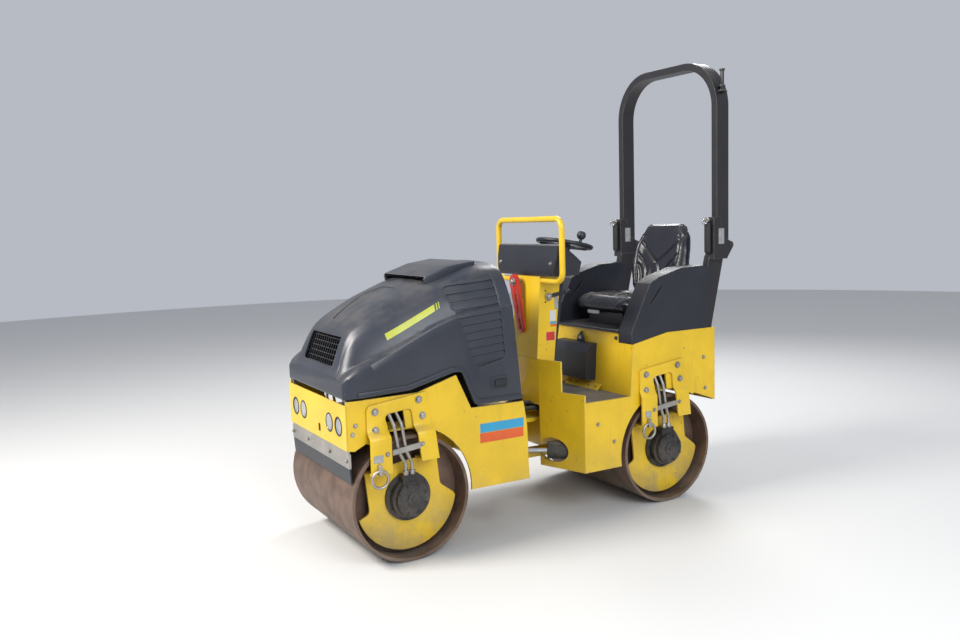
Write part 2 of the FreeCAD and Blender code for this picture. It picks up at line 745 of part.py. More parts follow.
def engine():
    return box(300, 830, -215, 215, front_deck_z + 0.3, 1040)


# Hood hinge: pin place, strap and lug widths along Y
hood_pin_x = 1028.0
hood_pin_z = 764.0
hood_pin_radius = 6.0
strap_table = [(338.0, 358.0)]


def hood_hinges():
    """Straps from the deck up to a pin on each side; the hood's lugs turn on the pins."""
    y0, y1 = strap_table[0]
    strap = box(hood_pin_x - 8, hood_pin_x + 8, y0, y1, panel_low_z + 35, hood_pin_z)
    foot = box(hood_pin_x - 8, hood_pin_x + 8, y1, front_half_width - plate - 0.3, panel_low_z + 35,
               panel_low_z + 75)
    eye = across(hood_pin_x, hood_pin_z, 11, y0, y1)
    pin = across(hood_pin_x, hood_pin_z, hood_pin_radius, y0 - 9, y1 + 9)
    return both(fuse(strap, foot, eye, pin))


def hood_lugs():
    """Pairs of lugs inside the hood's nose, each side of a strap."""
    y0, y1 = strap_table[0]
    lugs = []
    for low, high in ((y0 - 9, y0 - 1), (y1 + 1, y1 + 9)):
        lug = side_prism([(hood_pin_x - 11, hood_pin_z), (hood_pin_x - 11, 800), (hood_pin_x + 18, 800),
                          (hood_pin_x + 18, 782), (hood_pin_x + 11, hood_pin_z)], low, high)
        eye = across(hood_pin_x, hood_pin_z, 11, low, high)
        bore = across(hood_pin_x, hood_pin_z, hood_pin_radius + 0.1, low - 5, high + 5)
        lug = fuse(lug, eye).cut(bore)
        lugs += [lug, mirrored(lug)]
    return lugs


def main():
    os.makedirs("parts", exist_ok=True)
    save("front_drum", drum(front_axle_x))
    save("rear_drum", drum(rear_axle_x))
    save("front_frame", front_frame())
    save("front_panel", front_panel())
    save("lamps", lamps())
    save("lamp_rings", lamp_rings())
    for name, axle_x, base_y in (("front", front_axle_x, front_half_width),
                                 ("rear", rear_axle_x, rear_half_width)):
        arm, carrier, drive = drum_end(axle_x, base_y)
        save(name + "_brackets", both(arm))
        save(name + "_support_plates", both(carrier))
        save(name + "_motors", both(drive))
        save(name + "_pipes", both(pipes(axle_x, base_y)))
    bar, blade = scraper(front_axle_x, 1, front_half_width)
    save("front_scraper_bar", bar)
    save("front_scraper_blade", blade)
    save("hood", hood())
    save("engine", engine())
    save("hood_hinges", hood_hinges())
    save("rear_frame", rear_frame())
    save("platform", platform())
    save("seat_deck", seat_deck())
    save("console", console())
    save("console_back", console_back())
    save("console_cowl", console_cowl())
    save("handrail", handrail())
    save("steering_column", steering_column())
    save("steering_wheel", steering_wheel())
    save("document_box", document_box())
    save("seat_base", seat_base())
    save("seat_cushion", seat_cushion())
    save("seat_back", seat_back())
    save("arm_pod_left", arm_pod())
    save("arm_pod_right", mirrored(arm_pod()))
    save("rops_posts", both(rops_base()))
    save("rops_hoop", rops_hoop())
    save("hitch_yoke", hitch_yoke())
    save("steering_cylinder", steering_cylinder())
    save("cylinder_boot", cylinder_boot())
    save("steering_rod", steering_rod())
    save("cylinder_mount", barrel_mount())


main()
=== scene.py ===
# %% [markdown]
# A small tandem road roller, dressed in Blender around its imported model.
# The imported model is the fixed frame: every steel piece is already at its real size and place.
# The cells below add what a metal shop, a paint shop and a trim shop would add, one at a time.
# Everything is in metres: +X runs to the hood end, +Y to the machine's left side, +Z up.

import json
import math

import bmesh
import bpy
from mathutils import Matrix, Vector


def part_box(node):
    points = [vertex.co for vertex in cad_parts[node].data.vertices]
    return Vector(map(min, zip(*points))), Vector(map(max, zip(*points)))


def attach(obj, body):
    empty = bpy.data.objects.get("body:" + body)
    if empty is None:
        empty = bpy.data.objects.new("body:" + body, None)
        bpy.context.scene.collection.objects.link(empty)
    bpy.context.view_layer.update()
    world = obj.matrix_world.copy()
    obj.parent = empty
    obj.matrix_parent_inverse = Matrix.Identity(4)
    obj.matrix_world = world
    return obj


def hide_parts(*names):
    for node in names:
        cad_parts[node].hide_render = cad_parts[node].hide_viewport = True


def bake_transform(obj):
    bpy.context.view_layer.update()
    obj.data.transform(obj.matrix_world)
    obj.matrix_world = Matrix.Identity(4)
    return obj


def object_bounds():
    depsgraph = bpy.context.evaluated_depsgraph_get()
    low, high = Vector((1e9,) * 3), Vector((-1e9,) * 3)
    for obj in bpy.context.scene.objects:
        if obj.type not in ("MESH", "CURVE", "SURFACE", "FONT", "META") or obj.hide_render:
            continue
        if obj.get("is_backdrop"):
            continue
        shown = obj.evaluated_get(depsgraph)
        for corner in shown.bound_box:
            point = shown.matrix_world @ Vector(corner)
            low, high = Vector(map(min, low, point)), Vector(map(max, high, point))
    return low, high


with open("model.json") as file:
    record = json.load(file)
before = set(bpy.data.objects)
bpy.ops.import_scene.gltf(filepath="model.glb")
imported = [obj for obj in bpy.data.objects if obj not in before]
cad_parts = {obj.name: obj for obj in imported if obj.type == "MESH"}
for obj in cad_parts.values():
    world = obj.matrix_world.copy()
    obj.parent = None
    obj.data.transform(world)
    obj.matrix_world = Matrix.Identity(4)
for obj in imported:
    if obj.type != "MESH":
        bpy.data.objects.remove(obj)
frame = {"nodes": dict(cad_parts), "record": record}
cad_low, cad_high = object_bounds()
nodes = frame["nodes"]
node_body = {node: body for body, members in frame["record"]["behaviour"]["bodies"].items()
             for node in members}
print("nodes", len(nodes), "size", [round(v, 3) for v in cad_high - cad_low])

# %% [markdown]
# Operators work on whatever is selected, and the loader leaves its nodes selected.
# So every cell starts from an empty selection, and picks faces by their place.

# %% Selection helpers


def deselect():
    if bpy.context.object and bpy.context.object.mode != "OBJECT":
        bpy.ops.object.mode_set(mode="OBJECT")
    bpy.ops.object.select_all(action="DESELECT")


def activate(piece):
    deselect()
    piece.select_set(True)
    bpy.context.view_layer.objects.active = piece


deselect()

# %% [markdown]
# The camera stands where the photographer stood: about four metres off the left front corner,
# at the height of a tall person's eyes, looking slightly down and tipped by under two degrees.
# A camera looks along its own -Z, so its matrix has the right, up and backward directions as columns.

# %% Camera
eye = Vector((2.506, 3.983, 1.527))
heading, pitch, roll = (math.radians(a) for a in (-119.78, -6.34, -1.75))
forward = Vector((math.cos(pitch) * math.cos(heading), math.cos(pitch) * math.sin(heading),
                  math.sin(pitch)))
level_right = forward.cross(Vector((0, 0, 1))).normalized()
level_up = level_right.cross(forward)
right = level_right * math.cos(roll) + level_up * math.sin(roll)
up = level_up * math.cos(roll) - level_right * math.sin(roll)

lens_data = bpy.data.cameras.new("camera")
lens_data.sensor_width = 36.0
lens_data.lens = 33.74
camera = bpy.data.objects.new("camera", lens_data)
camera.matrix_world = Matrix((right, up, -forward)).transposed().to_4x4()
camera.location = eye
bpy.context.scene.collection.objects.link(camera)
bpy.context.scene.camera = camera
print("camera at", [round(v, 3) for v in eye])

# %% [markdown]
# The floor is one large pale disc under the drums. Its plain matt material takes the machine's
# shadow.

# %% Floor
floor_radius = 14.0
bpy.ops.mesh.primitive_circle_add(vertices=96, radius=floor_radius, fill_type="NGON",
                                  location=(0, 0, -0.0005))
floor = bpy.context.object
floor.name = "studio_floor"
floor_paint = bpy.data.materials.new("studio_floor")
floor_paint.use_nodes = True
floor_shader = floor_paint.node_tree.nodes["Principled BSDF"]
floor_shader.inputs["Base Color"].default_value = (0.62, 0.62, 0.61, 1)
floor_shader.inputs["Roughness"].default_value = 0.85
floor.data.materials.append(floor_paint)
floor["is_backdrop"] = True

# %% [markdown]
# Plain studio light: a pale world fills the shadows, a big soft lamp stands at the hood end, as
# the sun does in the yard, and a weaker one lights the left side that the camera sees.

# %% Light
world = bpy.data.worlds.new("studio")
bpy.context.scene.world = world
world.use_nodes = True
sky = world.node_tree.nodes["Background"]
sky.inputs["Color"].default_value = (0.86, 0.90, 1.0, 1)
sky.inputs["Strength"].default_value = 0.55


def soft_lamp(name, place, aim, size, watts, colour):
    data = bpy.data.lights.new(name, "AREA")
    data.shape = "DISK"
    data.size = size
    data.energy = watts
    data.color = colour
    lamp = bpy.data.objects.new(name, data)
    lamp.location = place
    lamp.rotation_euler = (Vector(aim) - Vector(place)).to_track_quat("-Z", "Y").to_euler()
    bpy.context.scene.collection.objects.link(lamp)
    return lamp


soft_lamp("key_lamp", (4.6, -0.6, 4.6), (0, 0, 0.8), 2.2, 420, (1.0, 0.96, 0.90))
soft_lamp("side_lamp", (0.6, 5.4, 3.6), (0, 0, 0.8), 3.5, 210, (0.94, 0.97, 1.0))
soft_lamp("back_lamp", (-3.6, -3.0, 4.2), (0, 0, 1.0), 2.5, 160, (1.0, 1.0, 1.0))
bpy.context.scene.view_settings.view_transform = "Standard"

# %% [markdown]
# Every finish on a worked machine has the same few stories: dust that settles on what faces up,
# mud thrown low by the drums, chipped edges, rain streaks and a fine skin of its own.
# Each story is one node group with named sockets. A group gives only colours, masks and normals,
# and the shader itself stays in the material, where the export can read it.

# %% Group helpers


def new_group(name, inputs, outputs):
    """An empty shader group with its sockets; gives the tree, its input node and its output node."""
    group = bpy.data.node_groups.new(name, "ShaderNodeTree")
    kinds = {"value": "NodeSocketFloat", "colour": "NodeSocketColor", "vector": "NodeSocketVector"}
    for socket, kind, default in inputs:
        made = group.interface.new_socket(socket, in_out="INPUT", socket_type=kinds[kind])
        if default is not None:
            made.default_value = default
    for socket, kind in outputs:
        group.interface.new_socket(socket, in_out="OUTPUT", socket_type=kinds[kind])
    return group, group.nodes.new("NodeGroupInput"), group.nodes.new("NodeGroupOutput")


def math_node(tree, operation, first, second=None, clamp=False):
    """One sum; first and second are sockets or numbers."""
    node = tree.nodes.new("ShaderNodeMath")
    node.operation = operation
    node.use_clamp = clamp
    for socket, value in zip(node.inputs, (first, second)):
        if isinstance(value, bpy.types.NodeSocket):
            tree.links.new(value, socket)
        elif value is not None:
            socket.default_value = value
    return node.outputs[0]


def ramp(tree, value, low, high):
    """0 below low, 1 above high, and smooth between them."""
    node = tree.nodes.new("ShaderNodeMapRange")
    node.interpolation_type = "SMOOTHSTEP"
    tree.links.new(value, node.inputs["Value"])
    node.inputs["From Min"].default_value = low
    node.inputs["From Max"].default_value = high
    return node.outputs["Result"]


def noise(tree, place, scale, detail=3.0, rough=0.55, stretch=None):
    """Cloudy noise at so many lumps to the metre; stretch scales the place first, as for streaks."""
    if stretch:
        mapping = tree.nodes.new("ShaderNodeMapping")
        mapping.inputs["Scale"].default_value = stretch
        tree.links.new(place, mapping.inputs["Vector"])
        place = mapping.outputs["Vector"]
    node = tree.nodes.new("ShaderNodeTexNoise")
    node.inputs["Scale"].default_value = scale
    node.inputs["Detail"].default_value = detail
    node.inputs["Roughness"].default_value = rough
    tree.links.new(place, node.inputs["Vector"])
    return node.outputs["Fac"]


def blend_colour(tree, share, first, second):
    """Mix of two colours, each a socket or a plain colour."""
    node = tree.nodes.new("ShaderNodeMix")
    node.data_type = "RGBA"
    tree.links.new(share, node.inputs["Factor"])
    for socket, value in ((node.inputs["A"], first), (node.inputs["B"], second)):
        if isinstance(value, bpy.types.NodeSocket):
            tree.links.new(value, socket)
        else:
            socket.default_value = (*value, 1.0)
    return node.outputs["Result"]


# %% [markdown]
# Dust lies where the surface faces up and in a band near the ground. The object's own normal is
# read, so the dust stays where it is when the hood tilts or the frame steers.

# %% Dust group
dust, dust_in, dust_out = new_group(
    "settled_dust",
    [("Colour", "colour", None), ("Gloss", "value", 0.4), ("Place", "vector", None),
     ("Top", "value", 0.5), ("Splash", "value", 0.5), ("Splash Height", "value", 0.45)],
    [("Colour", "colour"), ("Gloss", "value"), ("Mask", "value")])
dust_tint = (0.235, 0.205, 0.165)
own = dust.nodes.new("ShaderNodeTexCoord")
facing = dust.nodes.new("ShaderNodeSeparateXYZ")
dust.links.new(own.outputs["Normal"], facing.inputs[0])
height = dust.nodes.new("ShaderNodeSeparateXYZ")
dust.links.new(dust_in.outputs["Place"], height.inputs[0])
cloud = noise(dust, dust_in.outputs["Place"], 7.0, 6.0, 0.62)
speck = noise(dust, dust_in.outputs["Place"], 95.0, 2.0, 0.5)
up = math_node(dust, "MULTIPLY", ramp(dust, facing.outputs["Z"], 0.35, 0.95), dust_in.outputs["Top"])
up = math_node(dust, "MULTIPLY", up, ramp(dust, cloud, 0.36, 0.66))
low = math_node(dust, "DIVIDE", height.outputs["Z"], dust_in.outputs["Splash Height"])
low = math_node(dust, "SUBTRACT", 1.0, low, clamp=True)
low = math_node(dust, "ADD", low, math_node(dust, "MULTIPLY", speck, 0.35))
low = math_node(dust, "MULTIPLY", ramp(dust, low, 0.32, 1.15), dust_in.outputs["Splash"])
low = math_node(dust, "MULTIPLY", low, ramp(dust, cloud, 0.30, 0.62))
cover = math_node(dust, "MAXIMUM", up, low, clamp=True)
dusty = blend_colour(dust, cover, dust_in.outputs["Colour"], dust_tint)
dust.links.new(dusty, dust_out.inputs["Colour"])
dull = math_node(dust, "ADD", dust_in.outputs["Gloss"], math_node(dust, "MULTIPLY", cover, 0.45), clamp=True)
dust.links.new(dull, dust_out.inputs["Gloss"])
dust.links.new(cover, dust_out.inputs["Mask"])
print("group", dust.name, "with", len(dust.nodes), "nodes")

# %% [markdown]
# Paint chips first where a plate ends. The Bevel node in the material finds those edges, and this
# group breaks the line up with noise, and adds a few stone chips on the open faces.

# %% Chips group
chips, chips_in, chips_out = new_group(
    "chipped_edges",
    [("Edge", "value", 0.0), ("Place", "vector", None), ("Wear", "value", 0.5), ("Stones", "value", 0.3)],
    [("Bare", "value"), ("Rim", "value")])
ragged = noise(chips, chips_in.outputs["Place"], 26.0, 5.0, 0.7)
worn = math_node(chips, "ADD", math_node(chips, "MULTIPLY", chips_in.outputs["Edge"], 0.62),
                 math_node(chips, "MULTIPLY", ragged, 0.62))
worn = math_node(chips, "ADD", worn, math_node(chips, "MULTIPLY", chips_in.outputs["Wear"], 0.30))
cells = chips.nodes.new("ShaderNodeTexVoronoi")
cells.inputs["Scale"].default_value = 24.0
chips.links.new(chips_in.outputs["Place"], cells.inputs["Vector"])
stone_size = math_node(chips, "MULTIPLY", noise(chips, chips_in.outputs["Place"], 4.0, 2.0), 0.42)
stone_size = math_node(chips, "SUBTRACT", stone_size, 0.155)
stone_size = math_node(chips, "MULTIPLY", stone_size, chips_in.outputs["Stones"])
wobble = math_node(chips, "MULTIPLY", math_node(chips, "SUBTRACT", ragged, 0.5), 0.22)
reach = math_node(chips, "ADD", cells.outputs["Distance"], wobble)
stones = math_node(chips, "LESS_THAN", reach, stone_size)
bare = math_node(chips, "MAXIMUM", ramp(chips, worn, 0.92, 0.97), stones, clamp=True)
rim = math_node(chips, "MAXIMUM", ramp(chips, worn, 0.80, 0.92),
                math_node(chips, "LESS_THAN", reach, math_node(chips, "ADD", stone_size, 0.03)), clamp=True)
chips.links.new(bare, chips_out.inputs["Bare"])
chips.links.new(rim, chips_out.inputs["Rim"])
print("group", chips.name, "with", len(chips.nodes), "nodes")

# %% [markdown]
# Rain carries dirt down a wall in thin upright streaks, which is noise squeezed sideways.

# %% Streaks group
streaks, streaks_in, streaks_out = new_group(
    "rain_streaks", [("Place", "vector", None), ("Amount", "value", 0.5)], [("Mask", "value")])
thin = noise(streaks, streaks_in.outputs["Place"], 6.0, 4.0, 0.6, stretch=(9.0, 9.0, 0.7))
broad = noise(streaks, streaks_in.outputs["Place"], 2.6, 2.0, 0.5)
runs = math_node(streaks, "MULTIPLY", ramp(streaks, thin, 0.52, 0.78), ramp(streaks, broad, 0.40, 0.64))
runs = math_node(streaks, "MULTIPLY", runs, streaks_in.outputs["Amount"], clamp=True)
streaks.links.new(runs, streaks_out.inputs["Mask"])
print("group", streaks.name, "with", len(streaks.nodes), "nodes")

# %% [markdown]
# The skin group is the last touch: a height for the Bump node. Sprayed paint has an orange-peel
# skin, moulded plastic a leathery grain and cast iron small lumps. Only scale and mix differ.

# %% Skin group
skin, skin_in, skin_out = new_group(
    "surface_skin",
    [("Place", "vector", None), ("Fine", "value", 900.0), ("Coarse", "value", 60.0), ("Coarse Share", "value", 0.4)],
    [("Height", "value")])


def scaled_noise(tree, place, scale, detail):
    node = tree.nodes.new("ShaderNodeTexNoise")
    node.inputs["Detail"].default_value = detail
    tree.links.new(place, node.inputs["Vector"])
    tree.links.new(scale, node.inputs["Scale"])
    return node.outputs["Fac"]


fine = scaled_noise(skin, skin_in.outputs["Place"], skin_in.outputs["Fine"], 2.0)
coarse = scaled_noise(skin, skin_in.outputs["Place"], skin_in.outputs["Coarse"], 3.0)
coarse = math_node(skin, "MULTIPLY", coarse, skin_in.outputs["Coarse Share"])
skin.links.new(math_node(skin, "ADD", fine, coarse), skin_out.inputs["Height"])
print("group", skin.name, "with", len(skin.nodes), "nodes")

# %% [markdown]
# One maker lays the groups into a material in the order in which a machine gets them: the coat,
# its slight change of shade, rain streaks, chips down to primer and steel, dust and mud on top.
# Numbers that are the same all over go straight into the shader's own sockets.

# %% Material maker


def coat_material(name, colour, gloss, metal=0.0, shade=0.10, shade_scale=5.0, streak=0.0, streak_tint=(0.10, 0.08, 0.06),
                  wear=0.0, stones=0.0, bare_tint=(0.20, 0.16, 0.13), rim_tint=None, dust_top=0.0, splash=0.0,
                  splash_height=0.45, fine=900.0, coarse=60.0, coarse_share=0.4, depth=0.05, gloss_change=0.08,
                  specular=0.5, edge_radius=0.004, coat=0.0):
    material = bpy.data.materials.new(name)
    material.use_nodes = True
    tree = material.node_tree
    shader = tree.nodes["Principled BSDF"]
    place = tree.nodes.new("ShaderNodeTexCoord").outputs["Object"]

    def add_group(group, **values):
        node = tree.nodes.new("ShaderNodeGroup")
        node.node_tree = group
        for socket, value in values.items():
            target = node.inputs[socket.replace("_", " ")]
            if isinstance(value, bpy.types.NodeSocket):
                tree.links.new(value, target)
            else:
                target.default_value = value
        return node

    lighter = tuple(min(1.0, c * (1 + shade)) for c in colour)
    darker = tuple(c * (1 - shade) for c in colour)
    patch = noise(tree, place, shade_scale, 5.0, 0.6)
    paint = blend_colour(tree, ramp(tree, patch, 0.32, 0.68), darker, lighter)
    rough = math_node(tree, "ADD", gloss - gloss_change / 2,
                      math_node(tree, "MULTIPLY", noise(tree, place, 14.0, 4.0), gloss_change))
    if streak:
        runs = add_group(streaks, Place=place, Amount=streak)
        paint = blend_colour(tree, runs.outputs["Mask"], paint, streak_tint)
    if wear or stones:
        soft = tree.nodes.new("ShaderNodeBevel")
        soft.samples = 4
        soft.inputs["Radius"].default_value = edge_radius
        true = tree.nodes.new("ShaderNodeNewGeometry")
        dot = tree.nodes.new("ShaderNodeVectorMath")
        dot.operation = "DOT_PRODUCT"
        tree.links.new(soft.outputs["Normal"], dot.inputs[0])
        tree.links.new(true.outputs["Normal"], dot.inputs[1])
        edge = ramp(tree, math_node(tree, "SUBTRACT", 1.0, dot.outputs["Value"]), 0.01, 0.22)
        marks = add_group(chips, Edge=edge, Place=place, Wear=wear, Stones=stones)
        if rim_tint:
            paint = blend_colour(tree, marks.outputs["Rim"], paint, rim_tint)
        paint = blend_colour(tree, marks.outputs["Bare"], paint, bare_tint)
        rough = math_node(tree, "MAXIMUM", rough, math_node(tree, "MULTIPLY", marks.outputs["Bare"], 0.6))
    if dust_top or splash:
        film = add_group(dust, Colour=paint, Gloss=rough, Place=place, Top=dust_top, Splash=splash,
                         Splash_Height=splash_height)
        paint, rough = film.outputs["Colour"], film.outputs["Gloss"]
    tree.links.new(paint, shader.inputs["Base Color"])
    tree.links.new(rough, shader.inputs["Roughness"])
    shader.inputs["Metallic"].default_value = metal
    shader.inputs["Specular IOR Level"].default_value = specular
    shader.inputs["Coat Weight"].default_value = coat
    grain = add_group(skin, Place=place, Fine=fine, Coarse=coarse, Coarse_Share=coarse_share)
    bump = tree.nodes.new("ShaderNodeBump")
    bump.inputs["Strength"].default_value = 1.0
    bump.inputs["Distance"].default_value = depth / 1000
    tree.links.new(grain.outputs["Height"], bump.inputs["Height"])
    tree.links.new(bump.outputs["Normal"], shader.inputs["Normal"])
    return material


# %% [markdown]
# The finishes of this machine, each with its colour as the eye sees it in plain light. The yellow
# enamel is glossy under its dust, the drums carry a brown film of fine rust, and the moulded parts
# are a dark blue-grey that the sun has dulled on top.

# %% Finishes
finishes = {
    "yellow_paint": coat_material(
        "yellow_enamel", (0.72, 0.47, 0.018), 0.34, shade=0.07, streak=0.34, streak_tint=(0.30, 0.21, 0.06),
        wear=0.52, stones=0.55, rim_tint=(0.30, 0.19, 0.05), dust_top=0.42, splash=0.62, splash_height=0.50,
        fine=700, coarse=120, coarse_share=0.5, depth=0.05),
    "black_paint": coat_material(
        "black_enamel", (0.017, 0.016, 0.019), 0.38, shade=0.12, streak=0.25, streak_tint=(0.06, 0.05, 0.045),
        wear=0.45, stones=0.35, bare_tint=(0.22, 0.20, 0.18), dust_top=0.30, splash=0.35, fine=800, depth=0.05),
    "drum_steel": coat_material(
        "drum_steel", (0.155, 0.098, 0.072), 0.52, metal=0.35, shade=0.30, shade_scale=9.0, streak=0.30,
        streak_tint=(0.20, 0.15, 0.11), wear=0.35, bare_tint=(0.36, 0.32, 0.29), splash=0.45, splash_height=0.30,
        fine=260, coarse=40, coarse_share=0.8, depth=0.16, gloss_change=0.22),
    "bare_steel": coat_material(
        "bare_steel", (0.40, 0.38, 0.35), 0.40, metal=0.85, shade=0.16, streak=0.35, streak_tint=(0.22, 0.15, 0.09),
        wear=0.3, bare_tint=(0.16, 0.10, 0.06), dust_top=0.25, splash=0.35, fine=500, depth=0.06, gloss_change=0.2),
    "chrome": coat_material(
        "ground_chrome", (0.66, 0.66, 0.67), 0.16, metal=1.0, shade=0.03, dust_top=0.10, splash=0.2, depth=0.01),
    "hood_plastic": coat_material(
        "hood_moulding", (0.026, 0.030, 0.042), 0.36, shade=0.14, shade_scale=3.0, streak=0.22,
        streak_tint=(0.055, 0.053, 0.055), wear=0.28, stones=0.12, bare_tint=(0.09, 0.09, 0.10), dust_top=0.20,
        splash=0.0, fine=1500, coarse=300, coarse_share=0.5, depth=0.035, gloss_change=0.12),
    "black_plastic": coat_material(
        "black_moulding", (0.014, 0.016, 0.024), 0.44, shade=0.15, streak=0.20, streak_tint=(0.04, 0.037, 0.034),
        wear=0.22, stones=0.08, bare_tint=(0.06, 0.06, 0.065), dust_top=0.28, splash=0.25, fine=1300, coarse=420,
        coarse_share=0.7, depth=0.06),
    "vinyl": coat_material(
        "seat_vinyl", (0.0085, 0.0095, 0.016), 0.33, shade=0.18, wear=0.15, bare_tint=(0.035, 0.034, 0.036),
        dust_top=0.20, fine=1500, coarse=620, coarse_share=1.0, depth=0.09, gloss_change=0.12),
    "floor": coat_material(
        "worn_floor", (0.155, 0.142, 0.120), 0.66, metal=0.2, shade=0.22, shade_scale=11.0, streak=0.0,
        wear=0.55, stones=0.7, bare_tint=(0.26, 0.24, 0.21), dust_top=0.75, fine=420, coarse=90, coarse_share=0.9,
        depth=0.22, gloss_change=0.2),
    "dark_iron": coat_material(
        "oily_iron", (0.020, 0.020, 0.022), 0.46, metal=0.3, shade=0.3, shade_scale=12.0, streak=0.2, wear=0.4,
        stones=0.2, bare_tint=(0.10, 0.075, 0.05), dust_top=0.45, splash=0.75, splash_height=0.55, fine=260,
        coarse=70, coarse_share=0.9, depth=0.22, gloss_change=0.25),
    "lens": coat_material(
        "lamp_lens", (0.40, 0.42, 0.43), 0.10, shade=0.06, dust_top=0.2, splash=0.15, splash_height=0.9, depth=0.02),
    "red_paint": coat_material(
        "red_enamel", (0.42, 0.022, 0.012), 0.34, shade=0.10, wear=0.5, stones=0.3, bare_tint=(0.16, 0.12, 0.10),
        streak=0.2, dust_top=0.3, fine=700, depth=0.05),
    "rubber": coat_material(
        "black_rubber", (0.012, 0.012, 0.012), 0.62, shade=0.25, dust_top=0.5, splash=0.6, splash_height=0.7,
        fine=600, depth=0.10),
}
print(len(finishes), "finishes")

# %% [markdown]
# The steel pieces came as plain solids with knife edges. Real plate has a small ground or bent
# edge that catches the light, so each node gets live modifiers: Weld joins its loose triangles,
# Decimate clears the flat ones away, Bevel rounds the edges and Weighted Normal keeps flats flat.
# The mesh below the modifiers stays as it was packed.

# %% Round the edges and give each node its finish
edge_round = {"hood": 0.0035, "arm_pod_left": 0.003, "arm_pod_right": 0.003, "console_cowl": 0.004,
              "rops_hoop": 0.003, "rops_posts": 0.002, "front_drum": 0.0015, "rear_drum": 0.0015}
slot_of = {row["node"]: row["material_slot"] for row in frame["record"]["subparts"]}
for name, node in nodes.items():
    node.data.polygons.foreach_set("use_smooth", [True] * len(node.data.polygons))
    weld = node.modifiers.new("weld", "WELD")
    weld.merge_threshold = 0.00002
    clear = node.modifiers.new("clear_flats", "DECIMATE")
    clear.decimate_type = "DISSOLVE"
    clear.angle_limit = math.radians(0.6)
    bevel = node.modifiers.new("edge", "BEVEL")
    bevel.width = edge_round.get(name, 0.0012)
    bevel.segments = 2
    bevel.limit_method = "ANGLE"
    bevel.angle_limit = math.radians(32)
    bevel.harden_normals = True
    bevel.miter_outer = "MITER_ARC"
    even = node.modifiers.new("even_shading", "WEIGHTED_NORMAL")
    even.keep_sharp = True
    even.weight = 50
    node.data.materials.clear()
    node.data.materials.append(finishes[slot_of[name]])
print("dressed", len(nodes), "nodes")

# %% [markdown]
# The seat is two pads of vinyl over foam. Each starts as a cube that is subdivided, and its points
# are moved to the pad's real outline. A voxel remesh makes an even skin, a short cloth simulation
# with a little pressure crowns it, and only then are the sewn channels pressed in, because the
# remesh would wipe them out.

# %% Helpers for pads


def spread(table, share):
    """Value at a share from a table of (share, value) rows, eased between them."""
    for (a, low), (b, high) in zip(table, table[1:]):
        if share <= b:
            t = min(1.0, max(0.0, (share - a) / (b - a)))
            t = t * t * (3 - 2 * t)
            return low + (high - low) * t
    return table[-1][1]


def pad(name, place_point, voxel=0.006, pressure=4.0, most=0.006):
    """A closed pad: cube points in -1..1 are placed by the function, then remeshed and crowned."""
    bpy.ops.mesh.primitive_cube_add(size=2.0)
    piece = bpy.context.object
    piece.name = name
    bpy.ops.object.mode_set(mode="EDIT")
    bpy.ops.mesh.subdivide(number_cuts=23)
    bpy.ops.object.mode_set(mode="OBJECT")
    for vertex in piece.data.vertices:
        vertex.co = place_point(*vertex.co)
    remesh = piece.modifiers.new("skin", "REMESH")
    remesh.mode = "VOXEL"
    remesh.voxel_size = voxel
    bpy.ops.object.modifier_apply(modifier=remesh.name)
    start = [v.co.copy() for v in piece.data.vertices]
    cloth = piece.modifiers.new("crown", "CLOTH")
    cloth.settings.use_pressure = True
    cloth.settings.uniform_pressure_force = pressure
    cloth.settings.effector_weights.gravity = 0.0
    for step in range(1, 13):
        bpy.context.scene.frame_set(step)
    bpy.ops.object.modifier_apply(modifier=cloth.name)
    bpy.context.scene.frame_set(1)
    for vertex, old in zip(piece.data.vertices, start):
        move = vertex.co - old
        if move.length > most:
            vertex.co = old + move * (most / move.length)
    return piece


def press_channels(piece, lines, to_flat, depth=0.008, width=0.0075, front=None):
    """Push points in along their normals near sewn lines, drawn in the pad's own flat coordinates."""
    rows = [[Vector(p) for p in line] for line in lines]
    piece.data.update()
    normals = [v.normal.copy() for v in piece.data.vertices]
    for vertex, normal in zip(piece.data.vertices, normals):
        flat = to_flat(vertex.co)
        if flat is None or (front and normal.dot(front) < 0.35):
            continue
        near = 1.0
        for row in rows:
            for a, b in zip(row, row[1:]):
                run = b - a
                t = min(1.0, max(0.0, (flat - a).dot(run) / run.length_squared))
                near = min(near, (flat - a - run * t).length)
        if near < width * 3:
            vertex.co -= normal * depth * math.exp(-(near / width) ** 2)


def smooth_line(points, rounds=3):
    """Corner cutting: the drawn line becomes the soft curve of a sewn channel."""
    for _ in range(rounds):
        cut = [points[0]]
        for (ax, ay), (bx, by) in zip(points, points[1:]):
            cut += [(ax * 0.75 + bx * 0.25, ay * 0.75 + by * 0.25), (ax * 0.25 + bx * 0.75, ay * 0.25 + by * 0.75)]
        points = cut + [points[-1]]
    return points


def finish_pad(piece, node):
    soften = piece.modifiers.new("round", "SUBSURF")
    soften.levels = soften.render_levels = 1
    bpy.ops.object.modifier_apply(modifier=soften.name)
    bpy.ops.object.shade_smooth()
    piece.data.materials.append(finishes["vinyl"])
    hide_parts(node)
    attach(piece, node_body[node])
    print(piece.name, "with", len(piece.data.polygons), "faces")


# %% [markdown]
# The backrest leans back by about 15 degrees. It is widest above the hips, rounds off at the
# shoulders, and its side bolsters stand forward of the middle. The sewn channels run down from a
# V below the smooth shoulder panel.

